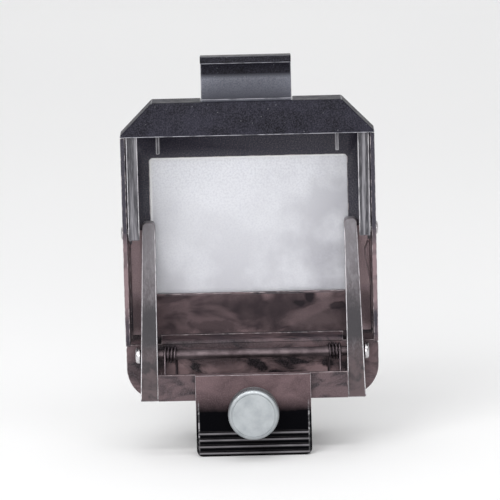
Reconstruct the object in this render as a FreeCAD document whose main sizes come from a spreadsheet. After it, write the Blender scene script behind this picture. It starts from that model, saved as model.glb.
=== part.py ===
import FreeCAD, Part
import Sketcher
import math
import os

# Slide duplicator: a slide stage with an opal window, a hood bail that swings
# forward on two side pins, and a sprung clamp frame that turns on a lower rod.
#
# Millimetres, +Z up, +X to the right, -Y towards the lens.
# The origin is on the optical axis, at the front face of the stage plate.

V = FreeCAD.Vector

# Driving dimensions. Depths are measured forward (-Y) from the front face of
# the stage plate, heights from the optical axis; "drop" is a depth below it.
SIZES = {
    # slide stage, one bent sheet
    "frame_width": 57.0,
    "stage_sheet": 1.0,
    "stage_bend": 0.8,
    "window_side": 6.05,
    "window_height": 31.4,
    "window_corner": 0.8,
    "plate_top_rim": 10.3,
    "plate_chamfer": 6.0,
    "wall_depth": 12.9,
    "wall_top_gap": 0.2,
    "wall_drop": 25.7,
    "wall_corner": 3.0,
    "ledge_drop": 25.3,
    "ledge_depth": 6.5,
    "ledge_inset": 0.8,
    "plate_skirt": 1.1,
    "apron_overhang": 0.1,
    "apron_below_ledge": 0.7,
    "apron_height": 13.0,
    "apron_corner": 7.5,
    "apron_top_corner": 1.2,
    "ear_sheet": 1.0,
    "ear_rim": 0.7,
    # linings, window and its frames
    "lining_sheet": 0.35,
    "lining_gap": 0.4,
    "lining_rise": 0.8,
    "gasket_sheet": 0.4,
    "gasket_land": 2.4,
    "pane_land": 2.1,
    "pane_sheet": 1.8,
    "pane_play": 0.5,
    "pane_frame_inset": 0.5,
    "pane_frame_corner": 1.7,
    "rear_sheet": 1.0,
    "pane_screw_inset": 2.0,
    "pane_screw_rim": 2.2,
    "pane_screw_clear": 0.45,
    "pane_screw_shank": 1.0,
    "pane_screw_head": 1.6,
    "pane_screw_head_height": 1.0,
    "pane_screw_stop": 0.25,
    # side leaf spring
    "leaf_sheet": 0.3,
    "leaf_width": 3.0,
    "leaf_depth": 3.4,
    "leaf_drop": 19.5,
    "leaf_seat": 5.2,
    "leaf_tip_drop": 3.6,
    "leaf_crest_drop": 7.0,
    "leaf_crest_height": 1.6,
    "leaf_bow": 1.3,
    "leaf_tip_bow": 0.6,
    # side pins of the bail
    "pin_depth": 8.0,
    "pin_shank": 1.05,
    "pin_head": 1.5,
    "pin_head_height": 0.5,
    "pin_inner_head_height": 0.6,
    "running_gap": 0.05,
    # hood
    "hood_sheet": 1.0,
    "hood_gap": 0.3,
    "hood_top": 30.3,
    "hood_chamfer_run": 7.2,
    "hood_chamfer_rise": 7.3,
    "hood_skirt": 0.4,
    "hood_return": 6.2,
    "hood_edge": 0.4,
    "tab_notch_play": 0.1,
    # bail arms
    "arm_sheet": 0.8,
    "arm_side_sheet": 0.6,
    "arm_width": 2.5,
    "arm_side_gap": 0.3,
    "arm_depth": 4.2,
    "arm_lip_depth": 1.6,
    "arm_lip_sheet": 0.5,
    "arm_eye_rim": 1.5,
    "arm_foot_rise": 3.3,
    "arm_foot_gap": 0.1,
    "arm_heel_drop": 0.9,
    "lug_inset": 4.6,
    "lug_sheet": 0.8,
    "lug_drop": 4.0,
    "lug_stop": 5.0,
    # finger tab
    "tab_width": 20.3,
    "tab_sheet": 0.9,
    "tab_foot_rise": 1.0,
    "tab_scoop": 4.45,
    "tab_neck": 0.5,
    "tab_lip": 1.3,
    "tab_hem": 0.8,
    "tab_corner": 0.5,
    # hinge of the clamp frame
    "pivot_forward": 3.5,
    "pivot_below_ledge": 2.5,
    "rod_radius": 1.1,
    "rod_head": 1.9,
    "rod_head_height": 1.0,
    "rod_side_gap": 0.3,
    # clamp frame: rails, cross strip and tongue
    "rail_arm_gap": 0.4,
    "rail_width": 2.9,
    "rail_flare": 1.1,
    "rail_sheet": 0.6,
    "rail_face_sheet": 0.8,
    "rail_top": 1.5,
    "rail_top_back": 0.5,
    "rail_top_depth": 3.4,
    "rail_foot_depth": 5.5,
    "rail_corner": 1.0,
    "strip_below_pivot": 3.5,
    "strip_height": 6.0,
    "strip_forward": 6.2,
    "strip_sheet": 1.0,
    "strip_proud": 0.2,
    "strip_end_sheet": 0.8,
    "strip_end_depth": 4.2,
    "strip_end_inset": 0.3,
    "tongue_width": 26.0,
    "tongue_sheet": 1.5,
    "tongue_below_strip": 12.6,
    "tongue_corner": 1.5,
    "rib_pitch": 1.5,
    "rib_width": 0.8,
    "rib_height": 0.55,
    "rib_count": 4,
    "rib_end_inset": 0.6,
    "rib_foot_inset": 0.8,
    "slot_play": 0.7,
    "slot_rise": 1.4,
    # torsion springs
    "wire": 0.6,
    "coil_play": 0.25,
    "coil_pitch": 0.75,
    "coil_turns": 4,
    "coil_end_gap": 0.5,
    "coil_leg": 8.0,
    "coil_rear_angle": 11.2,
    "coil_front_angle": 25.0,
    # rail block and its screws
    "block_width": 24.0,
    "block_depth": 15.0,
    "block_top_gap": 0.7,
    "block_below_screw": 6.7,
    "block_edge": 0.8,
    "post_radius": 4.0,
    "post_length": 15.0,
    "post_setback": 8.0,
    "block_screw_x": 8.0,
    "block_screw_rise": 4.3,
    "block_screw_shank": 1.25,
    "block_screw_head": 2.0,
    "block_screw_head_height": 1.1,
    "block_screw_length": 7.0,
    # clamp screw and knob
    "screw_radius": 2.0,
    "screw_below_apron": 0.3,
    "screw_tip_gap": 0.4,
    "screw_socket": 3.0,
    "notch_play": 1.0,
    "knob_radius": 5.75,
    "knob_height": 4.4,
    "knob_gap": 1.9,
    "knob_edge": 0.45,
    "knob_groove_inset": 0.75,
    "knob_groove_width": 0.25,
    "knob_groove_depth": 0.2,
    "knob_washer_inset": 1.35,
    "knob_washer_sheet": 0.6,
}


class Size:
    """A length with its value and the sheet expression that gives it."""

    def __init__(self, value, text):
        self.value = value
        self.text = text

    def join(self, sign, other, value):
        return Size(value, "(" + self.text + " " + sign + " " + other.text + ")")

    def __add__(self, other):
        other = size_of(other)
        return self.join("+", other, self.value + other.value)

    def __sub__(self, other):
        other = size_of(other)
        return self.join("-", other, self.value - other.value)

    def __mul__(self, other):
        other = size_of(other)
        return self.join("*", other, self.value * other.value)

    def __truediv__(self, other):
        other = size_of(other)
        return self.join("/", other, self.value / other.value)

    def __radd__(self, other):
        return size_of(other) + self

    def __rsub__(self, other):
        return size_of(other) - self

    def __rmul__(self, other):
        return size_of(other) * self

    def __neg__(self):
        return size_of(0) - self


def size_of(item):
    """A plain number as a Size; a Size as it is."""
    if isinstance(item, Size):
        return item
    return Size(float(item), "(" + format(float(item), ".6f") + ")")


class Sizes:
    """The cells of the spreadsheet, read by name."""


doc = FreeCAD.newDocument("SlideDuplicator")
sheet = doc.addObject("Spreadsheet::Sheet", "Sizes")
s = Sizes()
for row, (name, value) in enumerate(SIZES.items(), start=1):
    sheet.set("A" + str(row), name)
    sheet.set("B" + str(row), str(value))
    sheet.setAlias("B" + str(row), name)
    setattr(s, name, Size(float(value), "Sizes." + name))
doc.recompute()

nodes = []


# ---------------------------------------------------------------- helpers

def bind(item, prop, size):
    """Set a property from a Size and keep it tied to the sheet."""
    item.setExpression(prop, size_of(size).text)


def new_body(name):
    """A named PartDesign body that will be written as one node."""
    body = doc.addObject("PartDesign::Body", name)
    body.Label = name
    nodes.append(body)
    return body


def origin_item(body, role):
    return [item for item in body.Origin.OriginFeatures if item.Role == role][0]


def new_sketch(body, plane, level):
    """A sketch parallel to an origin plane, level along the plane's normal."""
    sketch = body.newObject("Sketcher::SketchObject", body.Name + "Sketch")
    sketch.AttachmentSupport = [(origin_item(body, plane), "")]
    sketch.MapMode = "FlatFace"
    bind(sketch, "AttachmentOffset.Base.z", level)
    return sketch


def sketch_front(body, y):
    """Local axes X and Z at the plane y; its normal points forward, to -Y."""
    return new_sketch(body, "XZ_Plane", -size_of(y))


def sketch_side(body, x):
    """Local axes Y and Z at the plane x; its normal points to +X."""
    return new_sketch(body, "YZ_Plane", size_of(x))


def sketch_floor(body, z):
    """Local axes X and Y at the height z; its normal points up."""
    return new_sketch(body, "XY_Plane", size_of(z))


def pin_point(sketch, geometry, end, across, up):
    """Tie one point of a sketch to its two distances from the origin."""
    across = size_of(across)
    up = size_of(up)
    rule = Sketcher.Constraint("DistanceX", -1, 1, geometry, end, across.value)
    number = sketch.addConstraint(rule)
    sketch.setExpression("Constraints[" + str(number) + "]", across.text)
    rule = Sketcher.Constraint("DistanceY", -1, 1, geometry, end, up.value)
    number = sketch.addConstraint(rule)
    sketch.setExpression("Constraints[" + str(number) + "]", up.text)


def add_polygon(sketch, points):
    """A closed outline of straight lines, every corner tied to the sheet."""
    points = [(size_of(across), size_of(up)) for across, up in points]
    count = len(points)
    first = sketch.GeometryCount
    for number in range(count):
        start = points[number]
        end = points[(number + 1) % count]
        line = Part.LineSegment(V(start[0].value, start[1].value, 0), V(end[0].value, end[1].value, 0))
        sketch.addGeometry(line, False)
    for number in range(count):
        following = first + (number + 1) % count
        sketch.addConstraint(Sketcher.Constraint("Coincident", first + number, 2, following, 1))
    for number in range(count):
        pin_point(sketch, first + number, 1, points[number][0], points[number][1])


def add_box_outline(sketch, low_across, high_across, low_up, high_up):
    corners = [(low_across, low_up), (high_across, low_up), (high_across, high_up), (low_across, high_up)]
    add_polygon(sketch, corners)


def add_circle(sketch, across, up, radius):
    across = size_of(across)
    up = size_of(up)
    radius = size_of(radius)
    circle = Part.Circle(V(across.value, up.value, 0), V(0, 0, 1), radius.value)
    number = sketch.addGeometry(circle, False)
    rule = sketch.addConstraint(Sketcher.Constraint("Radius", number, radius.value))
    sketch.setExpression("Constraints[" + str(rule) + "]", radius.text)
    pin_point(sketch, number, 3, across, up)


def extrude(body, kind, sketch, length, backwards):
    feature = body.newObject("PartDesign::" + kind, body.Name + kind)
    feature.Profile = sketch
    feature.Reversed = backwards
    bind(feature, "Length", length)
    sketch.Visibility = False
    doc.recompute()
    return feature


def pad(body, sketch, length, backwards=False):
    """Add material along the sketch's normal, or against it."""
    return extrude(body, "Pad", sketch, length, backwards)


def pocket(body, sketch, length, along=False):
    """Cut against the sketch's normal, or along it; the cut has to remove something."""
    before = body.Shape.Volume
    feature = extrude(body, "Pocket", sketch, length, along)
    if body.Shape.Volume > before - 1e-6:
        raise ValueError("a pocket of " + body.Label + " cuts nothing")
    return feature


def cut_through(body, sketch, length):
    """Cut both ways from the sketch, over the whole length."""
    before = body.Shape.Volume
    feature = body.newObject("PartDesign::Pocket", body.Name + "Through")
    feature.Profile = sketch
    feature.Midplane = True
    bind(feature, "Length", length)
    doc.recompute()
    if body.Shape.Volume > before - 1e-6:
        raise ValueError("a hole of " + body.Label + " cuts nothing")
    return feature


def edge_names(body, wanted):
    """Names of the straight edges for which wanted(middle, direction) holds."""
    names = []
    for number, edge in enumerate(body.Shape.Edges, start=1):
        if not isinstance(edge.Curve, Part.Line):
            continue
        direction = edge.Vertexes[-1].Point.sub(edge.Vertexes[0].Point).normalize()
        if wanted(edge.CenterOfMass, direction):
            names.append("Edge" + str(number))
    return names


def round_edges(body, wanted, radius, kind="Fillet"):
    """Fillet or chamfer the chosen straight edges of a body's tip."""
    feature = body.newObject("PartDesign::" + kind, body.Name + kind)
    feature.Base = (body.Tip if body.Tip is not feature else feature.BaseFeature, [])
    names = edge_names(body, wanted)
    if not names:
        raise ValueError("no edge to round on " + body.Label)
    feature.Base = (feature.BaseFeature or feature.Base[0], names)
    bind(feature, "Radius" if kind == "Fillet" else "Size", radius)
    doc.recompute()
    return feature


def near(value, size):
    return abs(value - size_of(size).value) < 1e-4


def along_x(direction):
    return abs(direction.x) > 0.999


def along_y(direction):
    return abs(direction.y) > 0.999


def along_z(direction):
    return abs(direction.z) > 0.999


def turned(name, axis, steps, place):
    """A turned piece: (start, end, radius) steps along X or Y from a place (x, y, z)."""
    parts = []
    for start, end, radius in steps:
        cylinder = doc.addObject("Part::Cylinder", name + "Step")
        bind(cylinder, "Radius", radius)
        bind(cylinder, "Height", size_of(end) - start)
        x, y, z = [size_of(value) for value in place]
        if axis == "X":
            cylinder.Placement = FreeCAD.Placement(V(0, 0, 0), FreeCAD.Rotation(V(0, 1, 0), 90))
            x = x + start
        else:
            cylinder.Placement = FreeCAD.Placement(V(0, 0, 0), FreeCAD.Rotation(V(1, 0, 0), -90))
            y = y + start
        bind(cylinder, "Placement.Base.x", x)
        bind(cylinder, "Placement.Base.y", y)
        bind(cylinder, "Placement.Base.z", z)
        parts.append(cylinder)
    if len(parts) == 1:
        return parts[0]
    whole = doc.addObject("Part::MultiFuse", name + "Turned")
    whole.Shapes = parts
    whole.Refine = True
    return whole


def as_node(item, name):
    item.Label = name
    nodes.append(item)
    return item


def group_node(name, items):
    """Identical separate solids kept in one node."""
    group = doc.addObject("Part::Compound", name)
    group.Links = items
    return as_node(group, name)


# ------------------------------------------------- sizes that follow others

half_width = s.frame_width / 2
wall_inside = half_width - s.stage_sheet
window_width = s.frame_width - 2 * s.window_side
window_half = window_width / 2
window_rise = s.window_height / 2
plate_top = window_rise + s.plate_top_rim
plate_shoulder = plate_top - s.plate_chamfer
plate_foot = -s.ledge_drop - s.stage_sheet
skirt_foot = plate_foot - s.plate_skirt

gasket_width = window_width + 2 * s.gasket_land
gasket_height = s.window_height + 2 * s.gasket_land
room_width = gasket_width + s.pane_play
room_height = gasket_height + s.pane_play
pane_back = s.stage_sheet + s.gasket_sheet + s.pane_sheet
pane_frame_half = half_width - s.pane_frame_inset
pane_screw_x = pane_frame_half - s.pane_screw_inset
pane_screw_z = room_height / 2 + s.pane_screw_shank + s.pane_screw_clear
pane_frame_rise = pane_screw_z + s.pane_screw_rim

hood_back = -s.wall_depth - s.hood_gap
hood_front = hood_back - s.hood_sheet
hood_shoulder = s.hood_top - s.hood_chamfer_rise
hood_bottom = hood_shoulder - s.hood_skirt
hood_top_half = half_width - s.hood_chamfer_run
hood_slope = s.hood_chamfer_rise / s.hood_chamfer_run
arm_outer = wall_inside - s.arm_side_gap
arm_inner = arm_outer - s.arm_width
arm_eye = s.pin_shank + s.running_gap + s.arm_eye_rim
arm_foot_top = hood_bottom + s.arm_foot_rise
lug_outer = arm_inner - s.lug_inset + s.lug_sheet / 2
lug_inner = lug_outer - s.lug_sheet

rail_outer = arm_inner - s.rail_arm_gap
rail_inner = rail_outer - s.rail_width
pivot_drop = s.ledge_drop + s.pivot_below_ledge
pivot_depth = s.ledge_depth + s.pivot_forward
strip_front = pivot_depth + s.strip_forward
strip_top_drop = pivot_drop + s.strip_below_pivot
rail_drop = strip_top_drop + s.strip_height
strip_back = s.strip_sheet - strip_front
rail_foot_front = s.strip_proud - strip_front
tongue_front = -strip_front - s.tongue_sheet
tongue_drop = rail_drop + s.tongue_below_strip
ear_radius = s.rod_radius + s.ear_rim
pivot_share = (s.rail_top + pivot_drop) / (s.rail_top + rail_drop)
rail_outer_at_rod = rail_outer + s.rail_flare * pivot_share
ear_middle = (rail_inner + rail_outer_at_rod) / 2
ledge_half = rail_inner - s.ledge_inset

apron_half = half_width + s.apron_overhang
apron_top_drop = s.ledge_drop + s.apron_below_ledge
apron_drop = apron_top_drop + s.apron_height
apron_back = s.stage_sheet - s.ledge_depth
screw_drop = apron_drop + s.screw_below_apron
slot_radius = s.screw_radius + s.slot_play
block_top_drop = s.ledge_drop + s.stage_sheet + s.block_top_gap
block_drop = screw_drop + s.block_below_screw
block_screw_drop = screw_drop - s.block_screw_rise
post_centre = apron_back + s.post_setback
screw_tip = post_centre - s.post_radius - s.screw_tip_gap
knob_back = tongue_front - s.knob_gap
knob_front = knob_back - s.knob_height


# -------------------------------------------------------------- the stage

def make_stage_plate():
    """Window plate, side walls, slide ledge, apron and hinge ears of one bent sheet."""
    body = new_body("stage_plate")
    plate = sketch_front(body, 0)
    plate_top_half = half_width - s.plate_chamfer
    add_polygon(plate, [
        (-half_width, skirt_foot),
        (-ledge_half, skirt_foot),
        (-ledge_half, plate_foot),
        (ledge_half, plate_foot),
        (ledge_half, skirt_foot),
        (half_width, skirt_foot),
        (half_width, plate_shoulder),
        (plate_top_half, plate_top),
        (-plate_top_half, plate_top),
        (-half_width, plate_shoulder),
    ])
    pad(body, plate, s.stage_sheet, backwards=True)
    for inner in (wall_inside, -half_width):
        wall = sketch_side(body, inner)
        add_polygon(wall, [
            (0, -s.wall_drop),
            (-s.wall_depth, -s.wall_drop),
            (-s.wall_depth, hood_bottom - s.wall_top_gap),
            (0, plate_shoulder),
        ])
        pad(body, wall, s.stage_sheet)
    ledge = sketch_front(body, 0)
    add_box_outline(ledge, -ledge_half, ledge_half, plate_foot, -s.ledge_drop)
    pad(body, ledge, s.ledge_depth)
    apron = sketch_front(body, apron_back)
    add_polygon(apron, [
        (-apron_half, -apron_drop),
        (apron_half, -apron_drop),
        (apron_half, -apron_top_drop),
        (ledge_half, -apron_top_drop),
        (ledge_half, -s.ledge_drop),
        (-ledge_half, -s.ledge_drop),
        (-ledge_half, -apron_top_drop),
        (-apron_half, -apron_top_drop),
    ])
    pad(body, apron, s.stage_sheet)
    for side in (1, -1):
        start = side * ear_middle - s.ear_sheet / 2
        tab = sketch_side(body, start)
        add_box_outline(tab, -pivot_depth, -s.ledge_depth, -pivot_drop - ear_radius, -apron_top_drop)
        pad(body, tab, s.ear_sheet)
        eye = sketch_side(body, start)
        add_circle(eye, -pivot_depth, -pivot_drop, ear_radius)
        pad(body, eye, s.ear_sheet)
    round_stage_corners(body)
    cut_stage_holes(body)


def round_stage_corners(body):
    """Round the apron, the feet of the walls and the bends between plate and walls."""
    def apron_foot(middle, direction):
        return along_y(direction) and near(middle.z, -apron_drop) and near(abs(middle.x), apron_half)

    def apron_wing(middle, direction):
        return along_y(direction) and near(middle.z, -apron_top_drop) and near(abs(middle.x), apron_half)

    def wall_foot(middle, direction):
        return along_x(direction) and near(middle.z, -s.wall_drop) and near(middle.y, -s.wall_depth)

    def wall_bend(middle, direction):
        return along_z(direction) and near(abs(middle.x), half_width) and near(middle.y, s.stage_sheet)

    def ledge_bend(middle, direction):
        return along_x(direction) and near(middle.y, -s.ledge_depth) and near(middle.z, -s.ledge_drop)

    round_edges(body, apron_foot, s.apron_corner)
    round_edges(body, apron_wing, s.apron_top_corner)
    round_edges(body, wall_foot, s.wall_corner)
    round_edges(body, wall_bend, s.stage_bend)
    round_edges(body, ledge_bend, s.stage_bend)


def cut_stage_holes(body):
    """Window, pin, rod, screw and leaf spring holes."""
    window = sketch_front(body, 0)
    add_box_outline(window, -window_half, window_half, -window_rise, window_rise)
    cut_through(body, window, 4 * s.stage_sheet)

    def window_corner(middle, direction):
        inside = near(abs(middle.x), window_half) and near(abs(middle.z), window_rise)
        return along_y(direction) and inside

    round_edges(body, window_corner, s.window_corner)
    pins = sketch_side(body, 0)
    add_circle(pins, -s.pin_depth, 0, s.pin_shank)
    cut_through(body, pins, 2 * s.frame_width)
    rod = sketch_side(body, 0)
    add_circle(rod, -pivot_depth, -pivot_drop, s.rod_radius + s.running_gap / 2)
    cut_through(body, rod, 2 * s.frame_width)
    screws = sketch_front(body, 0)
    for side in (1, -1):
        for rise in (1, -1):
            add_circle(screws, side * pane_screw_x, rise * pane_screw_z, s.pane_screw_shank)
    cut_through(body, screws, 4 * s.stage_sheet)
    apron = sketch_front(body, -s.ledge_depth)
    add_circle(apron, 0, -screw_drop, s.screw_radius + s.notch_play)
    for side in (1, -1):
        add_circle(apron, side * s.block_screw_x, -block_screw_drop, s.block_screw_shank)
    cut_through(body, apron, 4 * s.stage_sheet)


def make_lining():
    """Velvet glued to the lower half of the plate, round three sides of the window."""
    body = new_body("velvet_lining")
    edge = wall_inside - s.lining_gap
    gap_x = window_half + s.lining_gap
    gap_z = window_rise + s.lining_gap
    outline = sketch_front(body, 0)
    add_polygon(outline, [
        (-edge, s.lining_gap - s.ledge_drop),
        (edge, s.lining_gap - s.ledge_drop),
        (edge, -s.lining_rise),
        (gap_x, -s.lining_rise),
        (gap_x, -gap_z),
        (-gap_x, -gap_z),
        (-gap_x, -s.lining_rise),
        (-edge, -s.lining_rise),
    ])
    pad(body, outline, s.lining_sheet)


def make_ring(name, y, outer, inner, thickness):
    """A flat rectangular ring behind the plate, from y towards the rear."""
    body = new_body(name)
    ring = sketch_front(body, y)
    for half, rise in (outer, inner):
        add_box_outline(ring, -half, half, -rise, rise)
    pad(body, ring, thickness, backwards=True)
    return body


def make_window_parts():
    """Felt gasket, opal pane, spacer frame and rear frame, and their four screws."""
    gasket_hole = ((window_width + s.pane_play) / 2, (s.window_height + s.pane_play) / 2)
    make_ring("felt_gasket", s.stage_sheet, (gasket_width / 2, gasket_height / 2), gasket_hole, s.gasket_sheet)
    pane = new_body("opal_pane")
    glass = sketch_front(pane, s.stage_sheet + s.gasket_sheet)
    pane_half = window_half + s.pane_land
    pane_rise = window_rise + s.pane_land
    add_box_outline(glass, -pane_half, pane_half, -pane_rise, pane_rise)
    pad(pane, glass, s.pane_sheet, backwards=True)
    outer = (pane_frame_half, pane_frame_rise)
    room = (room_width / 2, room_height / 2)
    spacer = make_ring("pane_frame", s.stage_sheet, outer, room, s.gasket_sheet + s.pane_sheet)
    rear = make_ring("rear_frame", pane_back, outer, (window_half, window_rise), s.rear_sheet)
    for body in (spacer, rear):
        finish_pane_ring(body)
    head_seat = pane_back + s.rear_sheet
    screws = []
    for side in (1, -1):
        for rise in (1, -1):
            place = (side * pane_screw_x, 0, rise * pane_screw_z)
            steps = [(s.pane_screw_stop, head_seat, s.pane_screw_shank),
                     (head_seat, head_seat + s.pane_screw_head_height, s.pane_screw_head)]
            screws.append(turned("PaneScrew", "Y", steps, place))
    group_node("pane_screws", screws)


def finish_pane_ring(body):
    """Chamfered corners and the four screw holes of a ring behind the plate."""
    def outer_corner(middle, direction):
        outside = near(abs(middle.x), pane_frame_half) and near(abs(middle.z), pane_frame_rise)
        return along_y(direction) and outside

    round_edges(body, outer_corner, s.pane_frame_corner, kind="Chamfer")
    holes = sketch_front(body, pane_back)
    for side in (1, -1):
        for rise in (1, -1):
            add_circle(holes, side * pane_screw_x, rise * pane_screw_z, s.pane_screw_shank)
    cut_through(body, holes, 4 * pane_back)


def make_leaf_spring():
    """Bowed strip inside the right wall; it pushes a mount against the left one."""
    body = new_body("side_leaf_spring")
    outline = sketch_front(body, -s.leaf_depth)
    seat = wall_inside
    crest = seat - s.leaf_bow
    bend = s.leaf_seat - s.leaf_drop
    crest_foot = -s.leaf_crest_drop
    crest_top = crest_foot + s.leaf_crest_height
    add_polygon(outline, [
        (seat, -s.leaf_drop),
        (seat, bend),
        (crest, crest_foot),
        (crest, crest_top),
        (seat - s.leaf_tip_bow, -s.leaf_tip_drop),
        (seat - s.leaf_tip_bow - s.leaf_sheet, -s.leaf_tip_drop),
        (crest - s.leaf_sheet, crest_top),
        (crest - s.leaf_sheet, crest_foot),
        (seat - s.leaf_sheet, bend),
        (seat - s.leaf_sheet, -s.leaf_drop),
    ])
    pad(body, outline, s.leaf_width)


def make_side_pins():
    """Riveted pins through the side walls; the bail arms turn on them."""
    seat = arm_outer - s.arm_side_sheet - s.running_gap
    for side, name in ((1, "right_side_pin"), (-1, "left_side_pin")):
        steps = [(seat - s.pin_inner_head_height, seat, s.pin_head),
                 (seat, half_width, s.pin_shank),
                 (half_width, half_width + s.pin_head_height, s.pin_head)]
        if side < 0:
            steps = [(-end, -start, radius) for start, end, radius in steps]
        as_node(turned(name, "X", steps, (0, -s.pin_depth, 0)), name)


def make_hinge_rod():
    """Rod through both rails and both ears, with a turned head and a push-on cap."""
    seat = rail_outer_at_rod + s.rod_side_gap
    end = seat + s.rod_head_height
    place = (0, -pivot_depth, -pivot_drop)
    steps = [(-end, -seat, s.rod_head), (-seat, end, s.rod_radius)]
    as_node(turned("hinge_rod", "X", steps, place), "hinge_rod")
    cap = doc.addObject("Part::Cut", "rod_cap")
    cap.Base = turned("CapDisc", "X", [(seat, end, s.rod_head)], place)
    cap.Tool = turned("CapHole", "X", [(seat, end, s.rod_radius)], place)
    as_node(cap, "rod_cap")


def wire_sketch(body, x, reach, turn):
    """A six-sided wire section in a plane through the rod's axis, turned about that axis."""
    section = sketch_floor(body, -pivot_drop)
    offset = section.AttachmentOffset
    offset.Rotation = FreeCAD.Rotation(V(1, 0, 0), turn.value)
    section.AttachmentOffset = offset
    bind(section, "AttachmentOffset.Base.y", -pivot_depth)
    bind(section, "AttachmentOffset.Rotation.Angle", turn)
    corners = []
    for number in range(6):
        angle = math.pi / 3 * number
        corners.append((x + s.wire * (math.cos(angle) / 2), reach + s.wire * (math.sin(angle) / 2)))
    add_polygon(section, corners)
    return section


def make_torsion_springs():
    """A coil round the rod on each side: one leg on the apron, one behind the strip."""
    body = new_body("right_torsion_spring")
    radius = s.rod_radius + s.coil_play + s.wire / 2
    turns = s.coil_turns - (180 + s.coil_front_angle + s.coil_rear_angle) / 360
    outer_leg_x = rail_inner - s.strip_end_sheet - s.coil_end_gap - s.wire / 2
    inner_leg_x = outer_leg_x - s.coil_pitch * turns
    rear_leg = wire_sketch(body, inner_leg_x, radius, s.coil_rear_angle)
    coil = body.newObject("PartDesign::AdditiveHelix", "SpringCoil")
    coil.Profile = rear_leg
    coil.ReferenceAxis = (rear_leg, ["H_Axis"])
    coil.Mode = 1
    bind(coil, "Pitch", s.coil_pitch)
    bind(coil, "Turns", turns)
    doc.recompute()
    pad(body, rear_leg, s.coil_leg, backwards=True)
    front_leg = wire_sketch(body, outer_leg_x, -radius, -s.coil_front_angle)
    pad(body, front_leg, s.coil_leg, backwards=True)
    mirror = doc.addObject("Part::Mirroring", "left_torsion_spring")
    mirror.Source = body
    mirror.Normal = V(1, 0, 0)
    as_node(mirror, "left_torsion_spring")


def make_rail_block():
    """Block behind the apron; an upright post enters its bore from below."""
    body = new_body("rail_block")
    face = apron_back
    outline = sketch_front(body, face)
    add_box_outline(outline, -s.block_width / 2, s.block_width / 2, -block_drop, -block_top_drop)
    pad(body, outline, s.block_depth, backwards=True)

    def upright(middle, direction):
        return along_z(direction) and near(middle.y, face + s.block_depth)

    round_edges(body, upright, s.block_edge, kind="Chamfer")
    bore = sketch_floor(body, -block_drop)
    add_circle(bore, 0, post_centre, s.post_radius)
    pocket(body, bore, s.post_length, along=True)
    holes = sketch_front(body, face)
    add_circle(holes, 0, -screw_drop, s.screw_radius + s.running_gap)
    pocket(body, holes, post_centre - face)
    tapped = sketch_front(body, face)
    for side in (1, -1):
        add_circle(tapped, side * s.block_screw_x, -block_screw_drop, s.block_screw_shank)
    pocket(body, tapped, s.block_screw_length)
    screws = []
    for side in (1, -1):
        place = (side * s.block_screw_x, -s.ledge_depth, -block_screw_drop)
        steps = [(-s.block_screw_head_height, 0, s.block_screw_head),
                 (0, s.block_screw_length, s.block_screw_shank)]
        screws.append(turned("BlockScrew", "Y", steps, place))
    group_node("block_screws", screws)


# ---------------------------------------------------------- the hood bail

def make_hood():
    """Front plate with chamfered corners and a return along the top and chamfers."""
    body = new_body("hood_plate")
    outline = sketch_front(body, hood_back + s.hood_return)
    add_polygon(outline, [
        (-half_width, hood_bottom),
        (half_width, hood_bottom),
        (half_width, hood_shoulder),
        (hood_top_half, s.hood_top),
        (-hood_top_half, s.hood_top),
        (-half_width, hood_shoulder),
    ])
    pad(body, outline, s.hood_return + s.hood_sheet)
    inside = sketch_front(body, hood_back + s.hood_return)
    inner_half = half_width - s.hood_sheet
    inner_top = s.hood_top - s.hood_sheet
    add_polygon(inside, [
        (-inner_half, hood_bottom - s.hood_sheet),
        (inner_half, hood_bottom - s.hood_sheet),
        (inner_half, inside_chamfer_z(inner_half)),
        (inside_chamfer_x(inner_top), inner_top),
        (-inside_chamfer_x(inner_top), inner_top),
        (-inner_half, inside_chamfer_z(inner_half)),
    ])
    pocket(body, inside, s.hood_return, along=True)
    notch = sketch_front(body, hood_back)
    notch_half = s.tab_width / 2 + s.tab_notch_play
    add_box_outline(notch, -notch_half, notch_half, s.hood_top - 1.5 * s.hood_sheet, s.hood_top + s.hood_sheet)
    pocket(body, notch, 2 * s.hood_return)

    def front_rim(middle, direction):
        return near(middle.y, hood_front) and middle.z > hood_bottom.value + 0.01

    round_edges(body, front_rim, s.hood_edge)


def inside_chamfer_z(x):
    """Height of the inner face of the hood's chamfered return at a distance x."""
    slant = s.hood_sheet * 1.43
    return hood_shoulder + hood_slope * (half_width - x) - slant


def inside_chamfer_x(z):
    """Distance of the inner face of the hood's chamfered return at a height z."""
    slant = s.hood_sheet * 1.43
    return half_width - (z + slant - hood_shoulder) / hood_slope


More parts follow.
